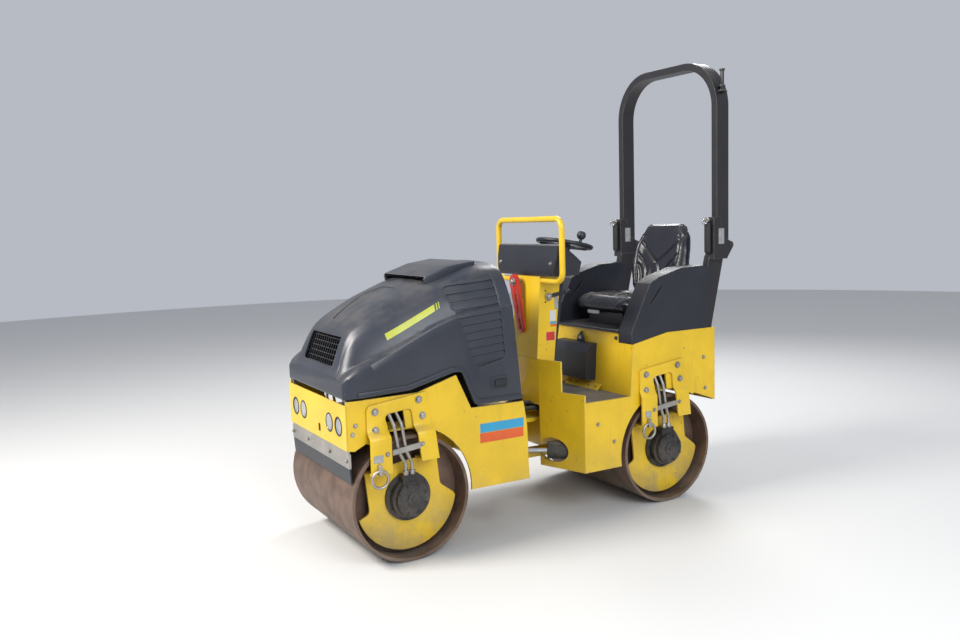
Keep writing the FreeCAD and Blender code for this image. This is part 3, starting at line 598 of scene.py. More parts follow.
# %% Backrest
deselect()
back_low, back_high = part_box("seat_back")
lean = math.radians(14.5)
back_up = Vector((-math.sin(lean), 0, math.cos(lean)))
back_front = Vector((math.cos(lean), 0, math.sin(lean)))
back_foot = Vector((back_high.x - 0.012, 0, back_low.z + 0.004))
back_length = (back_high.z - back_low.z + 0.016) / math.cos(lean)
half_width = (back_high.y - back_low.y) / 2 + 0.012
back_width = [(0.0, 0.70), (0.14, 0.86), (0.36, 1.0), (0.62, 0.99), (0.82, 0.92), (0.94, 0.80), (1.0, 0.62)]
back_depth = [(0.0, 0.060), (0.3, 0.074), (0.75, 0.058), (1.0, 0.036)]


def place_back(across, deep, high):
    share = (high + 1) / 2
    y = across * half_width * spread(back_width, min(1.0, share))
    thick = spread(back_depth, min(1.0, share))
    bolster = spread([(0.0, 0.0), (0.55, 0.0), (0.80, 1.0), (1.0, 0.75)], abs(across))
    bolster *= spread([(0.0, 0.5), (0.15, 1.0), (0.62, 1.0), (0.92, 0.0), (1.0, 0.0)], share)
    rim = max(0.0, 1 - abs(across) ** 5) ** 0.5 * max(0.0, 1 - abs(high) ** 14) ** 0.5
    front = -0.016 + 0.020 * bolster - 0.030 * (1 - rim)
    back = -thick - 0.012 + 0.020 * (1 - rim)
    off = front if deep < 0 else back
    return back_foot + back_up * (share * back_length * 0.985) + back_front * (front + (back - front) * (deep + 1) / 2) \
        + Vector((0, y, 0))


def back_flat(point):
    rel = point - back_foot
    return Vector((abs(rel.y), rel.dot(back_up)))


back_lines = [
    [(0.158, 0.318), (0.110, 0.270), (0.058, 0.228), (0.020, 0.200), (0.0, 0.188)],
    [(0.010, 0.186), (0.028, 0.160), (0.038, 0.120), (0.034, 0.045)],
    [(0.162, 0.235), (0.120, 0.196), (0.080, 0.150), (0.072, 0.105), (0.070, 0.040)],
    [(0.150, 0.172), (0.124, 0.140), (0.108, 0.095), (0.104, 0.034)],
    [(0.150, 0.345), (0.176, 0.285), (0.170, 0.170), (0.140, 0.095), (0.138, 0.025)],
]
backrest = pad("seat_backrest_pad", place_back)
press_channels(backrest, [smooth_line(line) for line in back_lines], back_flat, front=back_front)
finish_pad(backrest, "seat_back")

# %% [markdown]
# The cushion has a rolled front edge, raised sides and three cross channels in the middle.

# %% Cushion
deselect()
pad_low, pad_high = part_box("seat_cushion")
pad_mid_x = (pad_low.x + pad_high.x) / 2 + 0.014
pad_half_x = (pad_high.x - pad_low.x) / 2 + 0.010
pad_half_y = (pad_high.y - pad_low.y) / 2 + 0.012
pad_top = pad_high.z + 0.008


def place_cushion(ahead, across, high):
    corner = (1 - 0.10 * max(0.0, ahead) ** 3)
    x = pad_mid_x + ahead * pad_half_x * (1 - 0.10 * abs(across) ** 6)
    y = across * pad_half_y * corner * (0.94 if ahead < -0.5 else 1.0)
    rim = max(0.0, 1 - abs(across) ** 7) ** 0.5 * max(0.0, 1 - abs(ahead) ** 9) ** 0.5
    bolster = spread([(0.0, 0.0), (0.58, 0.0), (0.82, 1.0), (1.0, 0.7)], abs(across))
    bolster *= spread([(0.0, 1.0), (0.7, 1.0), (1.0, 0.25)], (ahead + 1) / 2)
    roll = spread([(0.0, 0.0), (0.62, 0.0), (0.85, 1.0), (1.0, 0.5)], (ahead + 1) / 2)
    top = pad_top - 0.026 + 0.018 * bolster + 0.010 * roll - 0.030 * (1 - rim)
    low = pad_low.z + 0.002 + 0.016 * (1 - rim)
    return Vector((x, y, low + (top - low) * (high + 1) / 2))


def cushion_flat(point):
    return Vector((point.x - pad_mid_x, abs(point.y)))


cushion_lines = [
    [(-0.17, 0.138), (0.06, 0.142), (0.118, 0.150), (0.126, 0.236)],
    [(0.112, 0.0), (0.112, 0.120), (0.118, 0.150)],
    [(-0.02, 0.0), (-0.02, 0.090), (-0.035, 0.137)],
    [(0.045, 0.0), (0.045, 0.090), (0.030, 0.139)],
    [(-0.085, 0.0), (-0.085, 0.090), (-0.100, 0.137)],
]
cushion = pad("seat_cushion_pad", place_cushion)
press_channels(cushion, [smooth_line(line) for line in cushion_lines], cushion_flat, front=Vector((0, 0, 1)))
finish_pad(cushion, "seat_cushion")

# %% [markdown]
# Short hydraulic hoses cross the hinge between the two halves of the machine. They are clamped to
# the front tail wall, to the hitch and to the rear wall, and each stretch spans one joint.
# A NURBS line through a few points gives the sag, and a round bevel gives the hose.

# %% Hoses across the hinge


def hose(name, points, radius):
    """A round hose along a NURBS line through the points."""
    line = bpy.data.curves.new(name, "CURVE")
    line.dimensions = "3D"
    line.bevel_depth = radius
    line.bevel_resolution = 4
    line.resolution_u = 10
    line.use_fill_caps = True
    run = line.splines.new("NURBS")
    run.points.add(len(points) - 1)
    for knot, point in zip(run.points, points):
        knot.co = (*point, 1.0)
    run.order_u = 3
    run.use_endpoint_u = True
    drawn = bpy.data.objects.new(name + "_line", line)
    bpy.context.scene.collection.objects.link(drawn)
    bpy.context.view_layer.update()
    mesh = bpy.data.meshes.new_from_object(drawn)
    bpy.data.objects.remove(drawn)
    piece = bpy.data.objects.new(name, mesh)
    bpy.context.scene.collection.objects.link(piece)
    mesh.polygons.foreach_set("use_smooth", [True] * len(mesh.polygons))
    mesh.materials.append(finishes["rubber"])
    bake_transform(piece)
    return piece


pin_x = 0.079
for number, (y, z, sag) in enumerate([(-0.085, 0.520, 0.030), (-0.045, 0.530, 0.045), (0.045, 0.528, 0.035),
                                      (0.085, 0.515, 0.025)]):
    rear_run = [(pin_x - 0.200, y, z - 0.01), (pin_x - 0.130, y, z + sag), (pin_x - 0.060, y * 0.9, z + sag),
                (pin_x, y * 0.8, z), (pin_x + 0.050, y * 0.7, z - 0.02)]
    hose("hinge_hose_rear_%d" % number, rear_run, 0.011)
    front_run = [(pin_x + 0.048, y * 0.7, z - 0.02), (pin_x + 0.085, y * 0.75, z - 0.035),
                 (pin_x + 0.110, y * 0.85, z - 0.03), (pin_x + 0.145, y, z - 0.01)]
    hose("hinge_hose_front_%d" % number, front_run, 0.011)
print("8 hose runs")

# %% [markdown]
# Small metal parts are placed as on a shop drawing: in millimetres, along X from the steering pin.
# One bolt is modelled once, a hexagon head on a washer, and copied to every place in a table.
# Each copy has its own mesh, and the copies on one body are joined into one piece.

# %% Workshop helpers
steering_pin = Vector((0.079, 0, 0))
out_left = Vector((0, 1, 0))
out_front = Vector((1, 0, 0))
upward = Vector((0, 0, 1))
rearward = Vector((-1, 0, 0))


def at(x, y, z):
    """A place on the drawing, in millimetres, as a point of the scene."""
    return Vector((x, y, z)) / 1000 + steering_pin


def mirror_rows(rows):
    """Rows of place and direction, with their twins on the machine's right side."""
    flip = Vector((1, -1, 1))
    return rows + [(place * flip, toward * flip) for place, toward in rows]


def finish_piece(piece, name, finish, node):
    """Name a piece, give it its finish and let it ride with the node it sits on."""
    piece.name = name
    piece.data.materials.clear()
    piece.data.materials.append(finish)
    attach(piece, node_body[node])
    return piece


def apply_bevel(piece, width, segments=2, degrees=32):
    bevel = piece.modifiers.new("soft_edges", "BEVEL")
    bevel.width = width
    bevel.segments = segments
    bevel.limit_method = "ANGLE"
    bevel.angle_limit = math.radians(degrees)
    activate(piece)
    bpy.ops.object.modifier_apply(modifier=bevel.name)
    bpy.ops.object.shade_smooth_by_angle(angle=math.radians(35))


def join_all(pieces):
    deselect()
    for piece in pieces:
        piece.select_set(True)
    bpy.context.view_layer.objects.active = pieces[0]
    if len(pieces) > 1:
        bpy.ops.object.join()
    return bpy.context.object


def disc(radius, depth, low, vertices=24):
    """A short cylinder that stands on the height low along Z."""
    bpy.ops.mesh.primitive_cylinder_add(vertices=vertices, radius=radius, depth=depth,
                                        location=(0, 0, low + depth / 2))
    piece = bpy.context.object
    bpy.ops.object.transform_apply(location=True, rotation=True, scale=True)
    return piece


def bolt_model(head, height, washer):
    """Hexagon head on a washer, standing on the origin along +Z."""
    deselect()
    ring = disc(washer, 0.0028, 0.0, 28)
    apply_bevel(ring, 0.0008, 1)
    hexagon = disc(head, height, 0.0028, 6)
    activate(hexagon)
    bpy.ops.object.mode_set(mode="EDIT")
    bpy.ops.mesh.select_all(action="DESELECT")
    edit = bmesh.from_edit_mesh(hexagon.data)
    top = max(edit.faces, key=lambda face: face.calc_center_median().z)
    top.select_set(True)
    bmesh.update_edit_mesh(hexagon.data)
    bpy.ops.mesh.inset(thickness=head * 0.16, depth=0.0)
    bpy.ops.transform.translate(value=(0, 0, height * 0.14))
    bpy.ops.object.mode_set(mode="OBJECT")
    apply_bevel(hexagon, 0.0006, 1, 20)
    return join_all([ring, hexagon])


def stamp(model, name, rows, node, finish):
    """Copies of a model at rows of place and direction, joined into one piece."""
    copies = []
    for place, toward in rows:
        piece = model.copy()
        piece.data = model.data.copy()
        turn = upward.rotation_difference(toward).to_matrix().to_4x4()
        piece.data.transform(Matrix.Translation(place) @ turn)
        bpy.context.scene.collection.objects.link(piece)
        copies.append(piece)
    return finish_piece(join_all(copies), name, finish, node)


def rounded_plate(name, centre, right_way, up_way, width, height, corner, thick, finish, node):
    """A thin plate with round corners; right and up are as seen from outside."""
    deselect()
    bpy.ops.mesh.primitive_plane_add(size=1.0)
    piece = bpy.context.object
    bpy.ops.object.mode_set(mode="EDIT")
    bpy.ops.transform.resize(value=(width, height, 1))
    if corner:
        bpy.ops.mesh.bevel(affect="VERTICES", offset=corner, segments=5)
    bpy.ops.mesh.extrude_region_move(TRANSFORM_OT_translate={"value": (0, 0, thick)})
    bpy.ops.mesh.select_all(action="SELECT")
    bpy.ops.mesh.normals_make_consistent(inside=False)
    bpy.ops.object.mode_set(mode="OBJECT")
    outward = right_way.cross(up_way)
    turn = Matrix((right_way, up_way, outward)).transposed().to_4x4()
    piece.data.transform(Matrix.Translation(centre) @ turn)
    apply_bevel(piece, min(thick * 0.4, 0.001), 1)
    return finish_piece(piece, name, finish, node)


# %% [markdown]
# Pressed and moulded pieces start as one drawn outline with round corners. A circle's points are
# moved onto the outline, and the face is extruded to the plate's thickness.

# %% Helpers for drawn plates


def rounded(points, steps=5):
    """The outline's points, with an arc at each corner that carries a radius as third number."""
    line = []
    count = len(points)
    for index, point in enumerate(points):
        corner = Vector(point[:2])
        if len(point) == 2:
            line.append(corner)
            continue
        before = (Vector(points[index - 1][:2]) - corner).normalized()
        after = (Vector(points[(index + 1) % count][:2]) - corner).normalized()
        half = before.angle(after) / 2
        first, last = corner + before * point[2] / math.tan(half), corner + after * point[2] / math.tan(half)
        middle = corner + (before + after).normalized() * point[2] / math.sin(half)
        start, end = (first - middle).normalized(), (last - middle).normalized()
        for step in range(steps + 1):
            line.append(middle + start.slerp(end, step / steps).normalized() * point[2])
    return line


def drawn_plate(points, low, high, seen="side"):
    """A closed plate; its points are (x, z) seen from the side, (y, z) from the front, (x, y) in plan."""
    deselect()
    line = rounded(points)
    bpy.ops.mesh.primitive_circle_add(vertices=len(line), fill_type="NGON")
    piece = bpy.context.object
    for vertex, (a, b) in zip(piece.data.vertices, line):
        vertex.co = {"side": at(a, low, b), "front": at(low, a, b), "plan": at(a, b, low)}[seen]
    way = {"side": out_left, "front": out_front, "plan": upward}[seen] * (high - low) / 1000
    bpy.ops.object.mode_set(mode="EDIT")
    bpy.ops.mesh.select_all(action="SELECT")
    bpy.ops.mesh.extrude_region_move(TRANSFORM_OT_translate={"value": way})
    bpy.ops.mesh.select_all(action="SELECT")
    bpy.ops.mesh.normals_make_consistent(inside=False)
    bpy.ops.object.mode_set(mode="OBJECT")
    return piece


def carve(piece, cutter, operation="DIFFERENCE"):
    cut = piece.modifiers.new("carve", "BOOLEAN")
    cut.operation = operation
    cut.solver = "EXACT"
    cut.object = cutter
    activate(piece)
    bpy.ops.object.modifier_apply(modifier=cut.name)
    bpy.data.objects.remove(cutter)


def mirror_copy(piece):
    """The twin on the machine's right side."""
    twin = piece.copy()
    twin.data = piece.data.copy()
    twin.data.transform(Matrix.Diagonal((1, -1, 1, 1)))
    twin.data.flip_normals()
    bpy.context.scene.collection.objects.link(twin)
    return twin


# %% [markdown]
# The hood is one moulding over the engine. The frame carries it as a plain faceted shell, so here
# it gets its real skin: a ledge above the crease, a bowed flank, round roof edges and a soft nose.
# Sections across the machine are set up from a table of stations, and a sheet is hung over them.
# Solidify gives it the wall, and the openings are carved afterwards.

# %% Hood sections
hood_rows = [(1050, 846, 352, 40, 852, 290, 856), (1026, 872, 374, 62, 890, 262, 896),
             (974, 903, 384, 62, 1026, 240, 1046), (900, 932, 387, 50, 1078, 256, 1102),
             (760, 990, 390, 30, 1140, 288, 1176), (600, 1062, 390, 18, 1198, 304, 1238),
             (450, 1106, 390, 9, 1250, 314, 1290), (330, 1122, 390, 6, 1288, 318, 1328),
             (120, 1126, 390, 5, 1284, 316, 1326)]
tail_line = [(148, 600), (148, 669), (167, 851), (210, 1300), (214, 1400)]


def straight(rows, key, at_key, value):
    """Value of a column at a place on another column, between the rows of a table."""
    rows = sorted(rows, key=lambda row: row[key])
    if at_key <= rows[0][key]:
        return rows[0][value]
    for a, b in zip(rows, rows[1:]):
        if at_key <= b[key]:
            return a[value] + (b[value] - a[value]) * (at_key - a[key]) / (b[key] - a[key])
    return rows[-1][value]


def hood_station(x):
    """Crease height, crease half width, ledge, edge height, edge half width and crown, eased along X."""
    reach = min(30, max(0, 1050 - x) * 0.6, max(0, x - 120))
    return [sum(straight(hood_rows, 0, x + reach * step / 3, value) for step in range(-3, 4)) / 7
            for value in range(1, 7)]


def hood_half(x):
    """Half a section, from the skirt up to the crown, as (y, z)."""
    crease_z, crease_y, ledge, edge_z, edge_y, crown_z = hood_station(x)
    low = min(390, crease_y + 6)
    turn = min(8, ledge * 0.5)
    tall = edge_z - crease_z
    soft = min(1, tall / 120)
    foot_y = crease_y - ledge
    line = [(low, 640), (low, crease_z - 60), (low, crease_z - 12), (crease_y - 0.3 * turn, crease_z - 3),
            (crease_y - turn, crease_z), (foot_y + ledge * 0.2, crease_z + 1),
            (foot_y - 2 * soft, crease_z + 5 * soft + 1)]
    for share in (0.12, 0.3, 0.5, 0.7, 0.84):
        bow = 9 * soft * math.sin(math.pi * share)
        line.append((foot_y + (edge_y - foot_y) * share + bow, crease_z + tall * share))
    line += [(edge_y + 3 * soft, edge_z - 14 * soft), (edge_y - 6 * soft, edge_z - 2 * soft),
             (edge_y - 22 * soft, edge_z + (crown_z - edge_z) * 0.24),
             (edge_y * 0.78, edge_z + (crown_z - edge_z) * 0.62), (edge_y * 0.55, crown_z - 4 * soft),
             (edge_y * 0.28, crown_z), (0, crown_z + 2 * soft)]
    return line


def flank_y(x, z):
    """Distance of the hood's skin from the middle at a place on its flank."""
    half = hood_half(x)
    for (y0, z0), (y1, z1) in zip(half, half[1:]):
        if z0 <= z <= z1 and z1 > z0:
            return y0 + (y1 - y0) * (z - z0) / (z1 - z0)
    return half[0][0]


# %% [markdown]
# The sheet is a grid whose columns are the stations and whose rows are the section's points. Its
# rear column follows the slanted tail line, and both ends are closed before the wall is added.

# %% Hood skin
hood_xs = [1050, 1047, 1043, 1038, 1032, 1026, 1018, 1008, 996, 984, 972, 958, 942, 924] + list(range(900, 150, -24)) + [140]
section_length = 2 * len(hood_half(500)) - 1
deselect()
bpy.ops.mesh.primitive_grid_add(x_subdivisions=len(hood_xs) - 1, y_subdivisions=section_length - 1, size=2.0)
hood = bpy.context.object
vertex_at = {}
for vertex in hood.data.vertices:
    column = round((vertex.co.x + 1) / 2 * (len(hood_xs) - 1))
    row = round((vertex.co.y + 1) / 2 * (section_length - 1))
    vertex_at[column, row] = vertex.index
    side = 1 if row < section_length / 2 else -1
    step = min(row, section_length - 1 - row)
    x = hood_xs[column]
    for _ in range(3):
        y, z = hood_half(x)[step]
        x = max(hood_xs[column], straight(tail_line, 1, z, 0))
    vertex.co = at(x, side * y, z)
edit = bmesh.new()
edit.from_mesh(hood.data)
edit.verts.ensure_lookup_table()
for column in (0, len(hood_xs) - 1):
    edit.faces.new([edit.verts[vertex_at[column, row]] for row in range(section_length)])
bmesh.ops.remove_doubles(edit, verts=edit.verts, dist=0.0006)
bmesh.ops.recalc_face_normals(edit, faces=edit.faces)
crown = max(edit.faces, key=lambda face: face.calc_center_median().z)
if crown.normal.z < 0:
    bmesh.ops.reverse_faces(edit, faces=edit.faces)
edit.to_mesh(hood.data)
edit.free()
wall = hood.modifiers.new("wall", "SOLIDIFY")
wall.thickness = 0.007
wall.offset = -1.0
activate(hood)
bpy.ops.object.modifier_apply(modifier=wall.name)
print("hood skin", len(hood.data.polygons), "faces")

# %% Hood openings
hood_low_line = [(1100, 770), (744, 782, 60), (520, 838, 24), (478, 836, 20), (413, 674, 20), (60, 670)]
carve(hood, drawn_plate([(1100, 500)] + hood_low_line + [(60, 500)], -500, 500))
louvre_outline = [(530, 1222, 22), (275, 1277, 22), (237, 877, 22), (395, 845, 22)]
for side in (1, -1):
    carve(hood, drawn_plate(louvre_outline, side * 250, side * 500))
nose_outline = [(-190, 892, 12), (190, 892, 12), (186, 1022, 12), (-186, 1022, 12)]
carve(hood, drawn_plate(nose_outline, 940, 1080, "front"))
crown_run = [(x, hood_station(x)[5] - 4) for x in range(640, 945, 20)]
field = drawn_plate(crown_run + [(940, 1400), (640, 1400)], -300, 300)
carve(field, drawn_plate([(928, -46, 20), (928, 46, 20), (740, 128, 60), (650, 78, 30), (650, -78, 30),
                          (740, -128, 60)], 900, 1390, "plan"), "INTERSECT")
carve(hood, field)
apply_bevel(hood, 0.0022, 2, 38)
lip_line = [(990, 773.7), (744, 782, 60), (520, 838, 24), (478, 836, 20), (413, 674, 20), (149, 670.7),
            (152, 694), (396, 698, 40), (462, 860, 40), (524, 862.5, 44), (747, 806, 60), (990, 797)]
lip = drawn_plate(lip_line, 385, 397)
apply_bevel(lip, 0.004, 3)
lips = [lip, mirror_copy(lip)]
lugs = []
for low, high in ((329, 337), (359, 367)):
    lug = drawn_plate([(1017, 753, 10.5), (1017, 800), (1044, 800), (1044, 782), (1039, 753, 10.5)], low, high)
    lugs += [lug, mirror_copy(lug)]
hood = join_all([hood] + lips + lugs)
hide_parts("hood")
finish_piece(hood, "hood_moulding", finishes["hood_plastic"], "hood")
print("hood", len(hood.data.polygons), "faces")

# %% [markdown]
# A raised scoop stands on the crown, open to the front below a thick round lip, and a pierced
# plate of square cells stands behind the opening in the nose.

# %% Scoop and grille
scoop = drawn_plate([(300, 1262), (300, 1335, 6), (440, 1316, 60), (566, 1274, 9), (574, 1262, 6), (560, 1200)],
                    -232, 232)
carve(scoop, drawn_plate([(500, 1190), (640, 1150), (620, 1257), (500, 1286)], -214, 214))
apply_bevel(scoop, 0.007, 4, 30)
finish_piece(scoop, "hood_scoop", finishes["hood_plastic"], "hood")
deselect()
bpy.ops.mesh.primitive_grid_add(x_subdivisions=14, y_subdivisions=6, size=2.0)
grille = bpy.context.object
for vertex in grille.data.vertices:
    rise = (vertex.co.y + 1) / 2
    vertex.co = at(1008 - 54 * rise, vertex.co.x * 192, 886 + 142 * rise)
bars = grille.modifiers.new("bars", "WIREFRAME")
bars.thickness = 0.006
bars.use_even_offset = False
activate(grille)
bpy.ops.object.modifier_apply(modifier=bars.name)
apply_bevel(grille, 0.0006, 1)
finish_piece(grille, "nose_grille", finishes["black_plastic"], "hood")

# %% [markdown]
# Eleven slats overlap like roof tiles in each flank's recess. Each is a strip hung on the flank's
# own section and given a wall, and its lower edge stands proud and catches the light.

# %% Louvre slats
slats = []
for number in range(11):
    foot = 868 + number * 36
    deselect()
    bpy.ops.mesh.primitive_grid_add(x_subdivisions=16, y_subdivisions=3, size=2.0)
    slat = bpy.context.object
    front_x = straight([(395, 845), (530, 1222)], 1, foot + 8, 0) + 3
    rear_x = straight([(237, 877), (275, 1277)], 1, foot + 40, 0) - 3
    for vertex in slat.data.vertices:
        x = rear_x + (front_x - rear_x) * (vertex.co.x + 1) / 2
        rise = (vertex.co.y + 1) / 2
        z = foot + (front_x - x) * 0.083 + rise * 31 - 2
        vertex.co = at(x, flank_y(x, min(z, 1270)) - 1.5 - 6.0 * rise, z)
    thick = slat.modifiers.new("wall", "SOLIDIFY")
    thick.thickness = 0.003
    thick.offset = 0.0
    activate(slat)
    bpy.ops.object.modifier_apply(modifier=thick.name)
    apply_bevel(slat, 0.0007, 1)
    slats += [slat, mirror_copy(slat)]
finish_piece(join_all(slats), "hood_slats", finishes["hood_plastic"], "hood")

# %% [markdown]
# Stickers stay blank: a pale or coloured film with a little gloss, scuffed along its edges. They
# are thin plates and not painted patches, so their edge catches the light as real film does.

# %% Film and label finishes
film = {
    "blue": coat_material("blue_film", (0.030, 0.30, 0.50), 0.34, shade=0.10, wear=0.35, stones=0.4,
                          bare_tint=(0.62, 0.42, 0.03), streak=0.3, streak_tint=(0.12, 0.20, 0.24), dust_top=0.2),
    "orange": coat_material("orange_film", (0.66, 0.105, 0.020), 0.36, shade=0.10, wear=0.4, stones=0.6,
                            bare_tint=(0.62, 0.42, 0.03), streak=0.35, streak_tint=(0.40, 0.20, 0.08), dust_top=0.2),
    "white": coat_material("white_film", (0.56, 0.56, 0.53), 0.38, shade=0.08, wear=0.3, stones=0.5,
                           bare_tint=(0.50, 0.36, 0.05), streak=0.3, streak_tint=(0.30, 0.26, 0.20)),
    "silver": coat_material("silver_film", (0.42, 0.42, 0.42), 0.36, metal=0.6, shade=0.15, shade_scale=40.0, wear=0.4,
                            stones=0.9, bare_tint=(0.12, 0.12, 0.13), streak=0.4, streak_tint=(0.16, 0.15, 0.13)),
    "red": coat_material("red_film", (0.50, 0.030, 0.030), 0.36, shade=0.10, wear=0.3, stones=0.4,
                         bare_tint=(0.55, 0.50, 0.45), streak=0.2),
    "lime": coat_material("lime_film", (0.40, 0.43, 0.030), 0.30, shade=0.08, wear=0.3, stones=0.35,
                          bare_tint=(0.05, 0.055, 0.06)),
}

# %% [markdown]
# Each drum end hangs on a pressed bracket: an inverted U, bolted high on the side plate, whose legs
# swell outward past the drum and turn in to the motor carrier. It is drawn flat, cut across at the
# fold lines and pushed out there, which is what the press does to the real plate.

# %% Brackets and carriers
axle_z = 290
bracket_line = [(203, 138), (199, 443, 26), (-98, 479, 14), (-111.4, 344), (-131.5, 172), (-43, 172),
                (-23, 344), (-16, 412, 20), (117, 395, 20), (101, 344), (101, 138)]
carrier_line = [(-155, 176, 10), (-170, 28, 30), (-236, -22, 14), (-262, -60), (-262, -300), (262, -300),
                (262, -86), (226, -70, 14), (186, -52, 26), (204, 140, 10), (-30, 168)]
drum_ends = [("front", 755, 378, 428), ("rear", -755, 404, 436)]


def from_axle(points, axle):
    """Points given from a drum's axle, as places on the drawing."""
    return [(point[0] + axle, point[1] + axle_z, *point[2:]) for point in points]


def add_finished(pieces, name, finish, node, replaces=False):
    """Mirror the pieces of the left side, join all and finish them."""
    whole = join_all(pieces + [mirror_copy(piece) for piece in pieces])
    if replaces:
        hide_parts(node)
    return finish_piece(whole, name, finishes[finish], node)


for end, axle, base, bulge in drum_ends:
    plate = drawn_plate(from_axle(bracket_line, axle), base, base + 12)
    activate(plate)
    bpy.ops.object.mode_set(mode="EDIT")
    for level in range(296, 341, 8):
        bpy.ops.mesh.select_all(action="SELECT")
        bpy.ops.mesh.bisect(plane_co=(0, 0, (axle_z + level) / 1000), plane_no=(0, 0, 1))
    bpy.ops.object.mode_set(mode="OBJECT")
    for vertex in plate.data.vertices:
        share = min(1, max(0, (axle_z + 336 - vertex.co.z * 1000) / 40))
        vertex.co.y += (bulge - 12 - base) / 1000 * share * share * (3 - 2 * share)
    apply_bevel(plate, 0.0025, 2, 40)
    feet = []
    for low_u, high_u, foot in ((101, 203, 138), (-131.5, -43, 172)):
        turned_in = drawn_plate(from_axle([(low_u, foot), (high_u, foot), (high_u, foot + 12), (low_u, foot + 12)],
                                          axle), 345.3, bulge - 1)
        apply_bevel(turned_in, 0.002, 2)
        feet.append(turned_in)
    add_finished([plate] + feet, end + "_pressed_brackets", "yellow_paint", end + "_brackets", replaces=True)
    carrier = drawn_plate(from_axle(carrier_line, axle), 333, 345)
    ring = [(250 * math.cos(math.radians(turn)), 250 * math.sin(math.radians(turn))) for turn in range(0, 360, 4)]
    carve(carrier, drawn_plate(from_axle(ring, axle), 320, 360), "INTERSECT")
    apply_bevel(carrier, 0.002, 2, 40)
    add_finished([carrier], end + "_carriers", "yellow_paint", end + "_support_plates", replaces=True)
print("drum ends dressed")

# %% [markdown]
# The motors get their flange, the groove round the cap and a plug. The pipes end in hexagon nuts, a
# bar with one bolt pinches them between the legs, and a tie-down ring hangs on the front leg.

# %% Motor flanges, nuts, clamps and rings
to_left = Matrix.Rotation(math.radians(-90), 4, "X")
for end, axle, base, bulge in drum_ends:
    turned_parts = []
    for radius, depth, place, facets in ((112, 14, 345.3, 64), (86, 6, 386, 64), (30, 5, 415, 48), (13, 6, 420, 6)):
        deselect()
        step = disc(radius / 1000, depth / 1000, 0.0, facets)
        apply_bevel(step, 0.0015, 2)
        step.data.transform(Matrix.Translation(at(axle, place, axle_z)) @ to_left)
        turned_parts.append(step)
    add_finished(turned_parts, end + "_motor_rings", "dark_iron", end + "_motors")
    nuts = []
    for low in (26, -6):
        deselect()
        nut = disc(0.0145, 0.020, 0.0, 6)
        apply_bevel(nut, 0.001, 1)
        nut.data.transform(Matrix.Translation(at(axle + low, 396, 403)))
        nuts.append(nut)
    add_finished(nuts, end + "_pipe_nuts", "bare_steel", end + "_pipes")
    clamp = drawn_plate(from_axle([(101, 244), (-36, 261), (-39, 234), (101, 219)], axle), 426.3, 432)
    block = drawn_plate(from_axle([(68, 243, 3), (-14, 253, 3), (-17, 229, 3), (65, 219, 3)], axle), 398, 409)
    for part in (clamp, block):
        apply_bevel(part, 0.001, 1)
    add_finished([clamp, block], end + "_pipe_bars", "bare_steel", end + "_brackets")
    deselect()
    bpy.ops.mesh.primitive_torus_add(major_radius=0.038, minor_radius=0.0065, major_segments=56, minor_segments=14)
    tie = bpy.context.object
    bpy.ops.object.shade_smooth()
    tie.data.transform(Matrix.Translation(at(axle + 167, bulge + 9, axle_z + 124)) @ to_left)
    eye = drawn_plate(from_axle([(159, 142, 4), (175, 142, 4), (175, 190, 4), (159, 190, 4)], axle), bulge, bulge + 20)
    apply_bevel(eye, 0.002, 2)
    add_finished([tie, eye], end + "_tie_down_rings", "bare_steel", end + "_brackets")

# %% [markdown]
# The brackets hang on four big bolts each, their heads a little rusty. Smaller ones hold the pipe
# clamps, the side plates' inner parts and the scraper.

# %% Bolts on the frames
front_side, rear_side, bracket_thick = 378.0, 404.0, 12.0
big_bolt = bolt_model(0.0125, 0.009, 0.0175)
bracket_bolts = [(160, 705), (161, 623), (-53, 735), (-70, 660)]
for node, axle, side in (("front_brackets", 755, front_side), ("rear_brackets", -755, rear_side)):
    rows = [(at(axle + u, side + bracket_thick, z), out_left) for u, z in bracket_bolts]
    stamp(big_bolt, node + "_bolts", mirror_rows(rows), node, finishes["bare_steel"])
small_bolt = bolt_model(0.0075, 0.006, 0.011)
front_small = [(1019, 616), (1004, 654), (708, 541, 428), (879, 519, 428)]
rear_small = [(-289, 483), (-391, 381), (-1005, 755), (-1017, 585), (-802, 541, 436), (-631, 519, 436)]
for node, table, side in (("front_frame", front_small, front_side), ("rear_frame", rear_small, rear_side)):
    rows = [(at(row[0], row[2] if len(row) > 2 else side, row[1]), out_left) for row in table]
    stamp(small_bolt, node + "_small_bolts", mirror_rows(rows), node, finishes["bare_steel"])
scraper_rows = [(at(1042, y, 500), out_front) for y in (-357, -146, 146, 357)]
stamp(small_bolt, "scraper_bolts", scraper_rows, "front_scraper_bar", finishes["bare_steel"])
cowl_rows = [(at(-134, y, 1297), out_front) for y in (-240, 240)]
stamp(small_bolt, "cowl_bolts", cowl_rows, "console_cowl", finishes["bare_steel"])
box_tab = drawn_plate([(-62, 840), (18, 840), (8, 872, 14), (-8, 886, 12), (-36, 886, 12), (-52, 872, 14)],
                      -508, -502, "front")
apply_bevel(box_tab, 0.002, 2)
finish_piece(box_tab, "box_tab", finishes["black_plastic"], "document_box")
stamp(small_bolt, "box_bolt", [(at(-502, -22, 866), out_front)], "document_box", finishes["bare_steel"])
wall_rows = [(at(-517, y, 890), out_front) for y in (-30, 272)]
stamp(small_bolt, "seat_wall_bolts", wall_rows, "rear_frame", finishes["black_paint"])

# %% [markdown]
# Each travel motor is closed by a ring of eight cap screws, and its flange by six more.

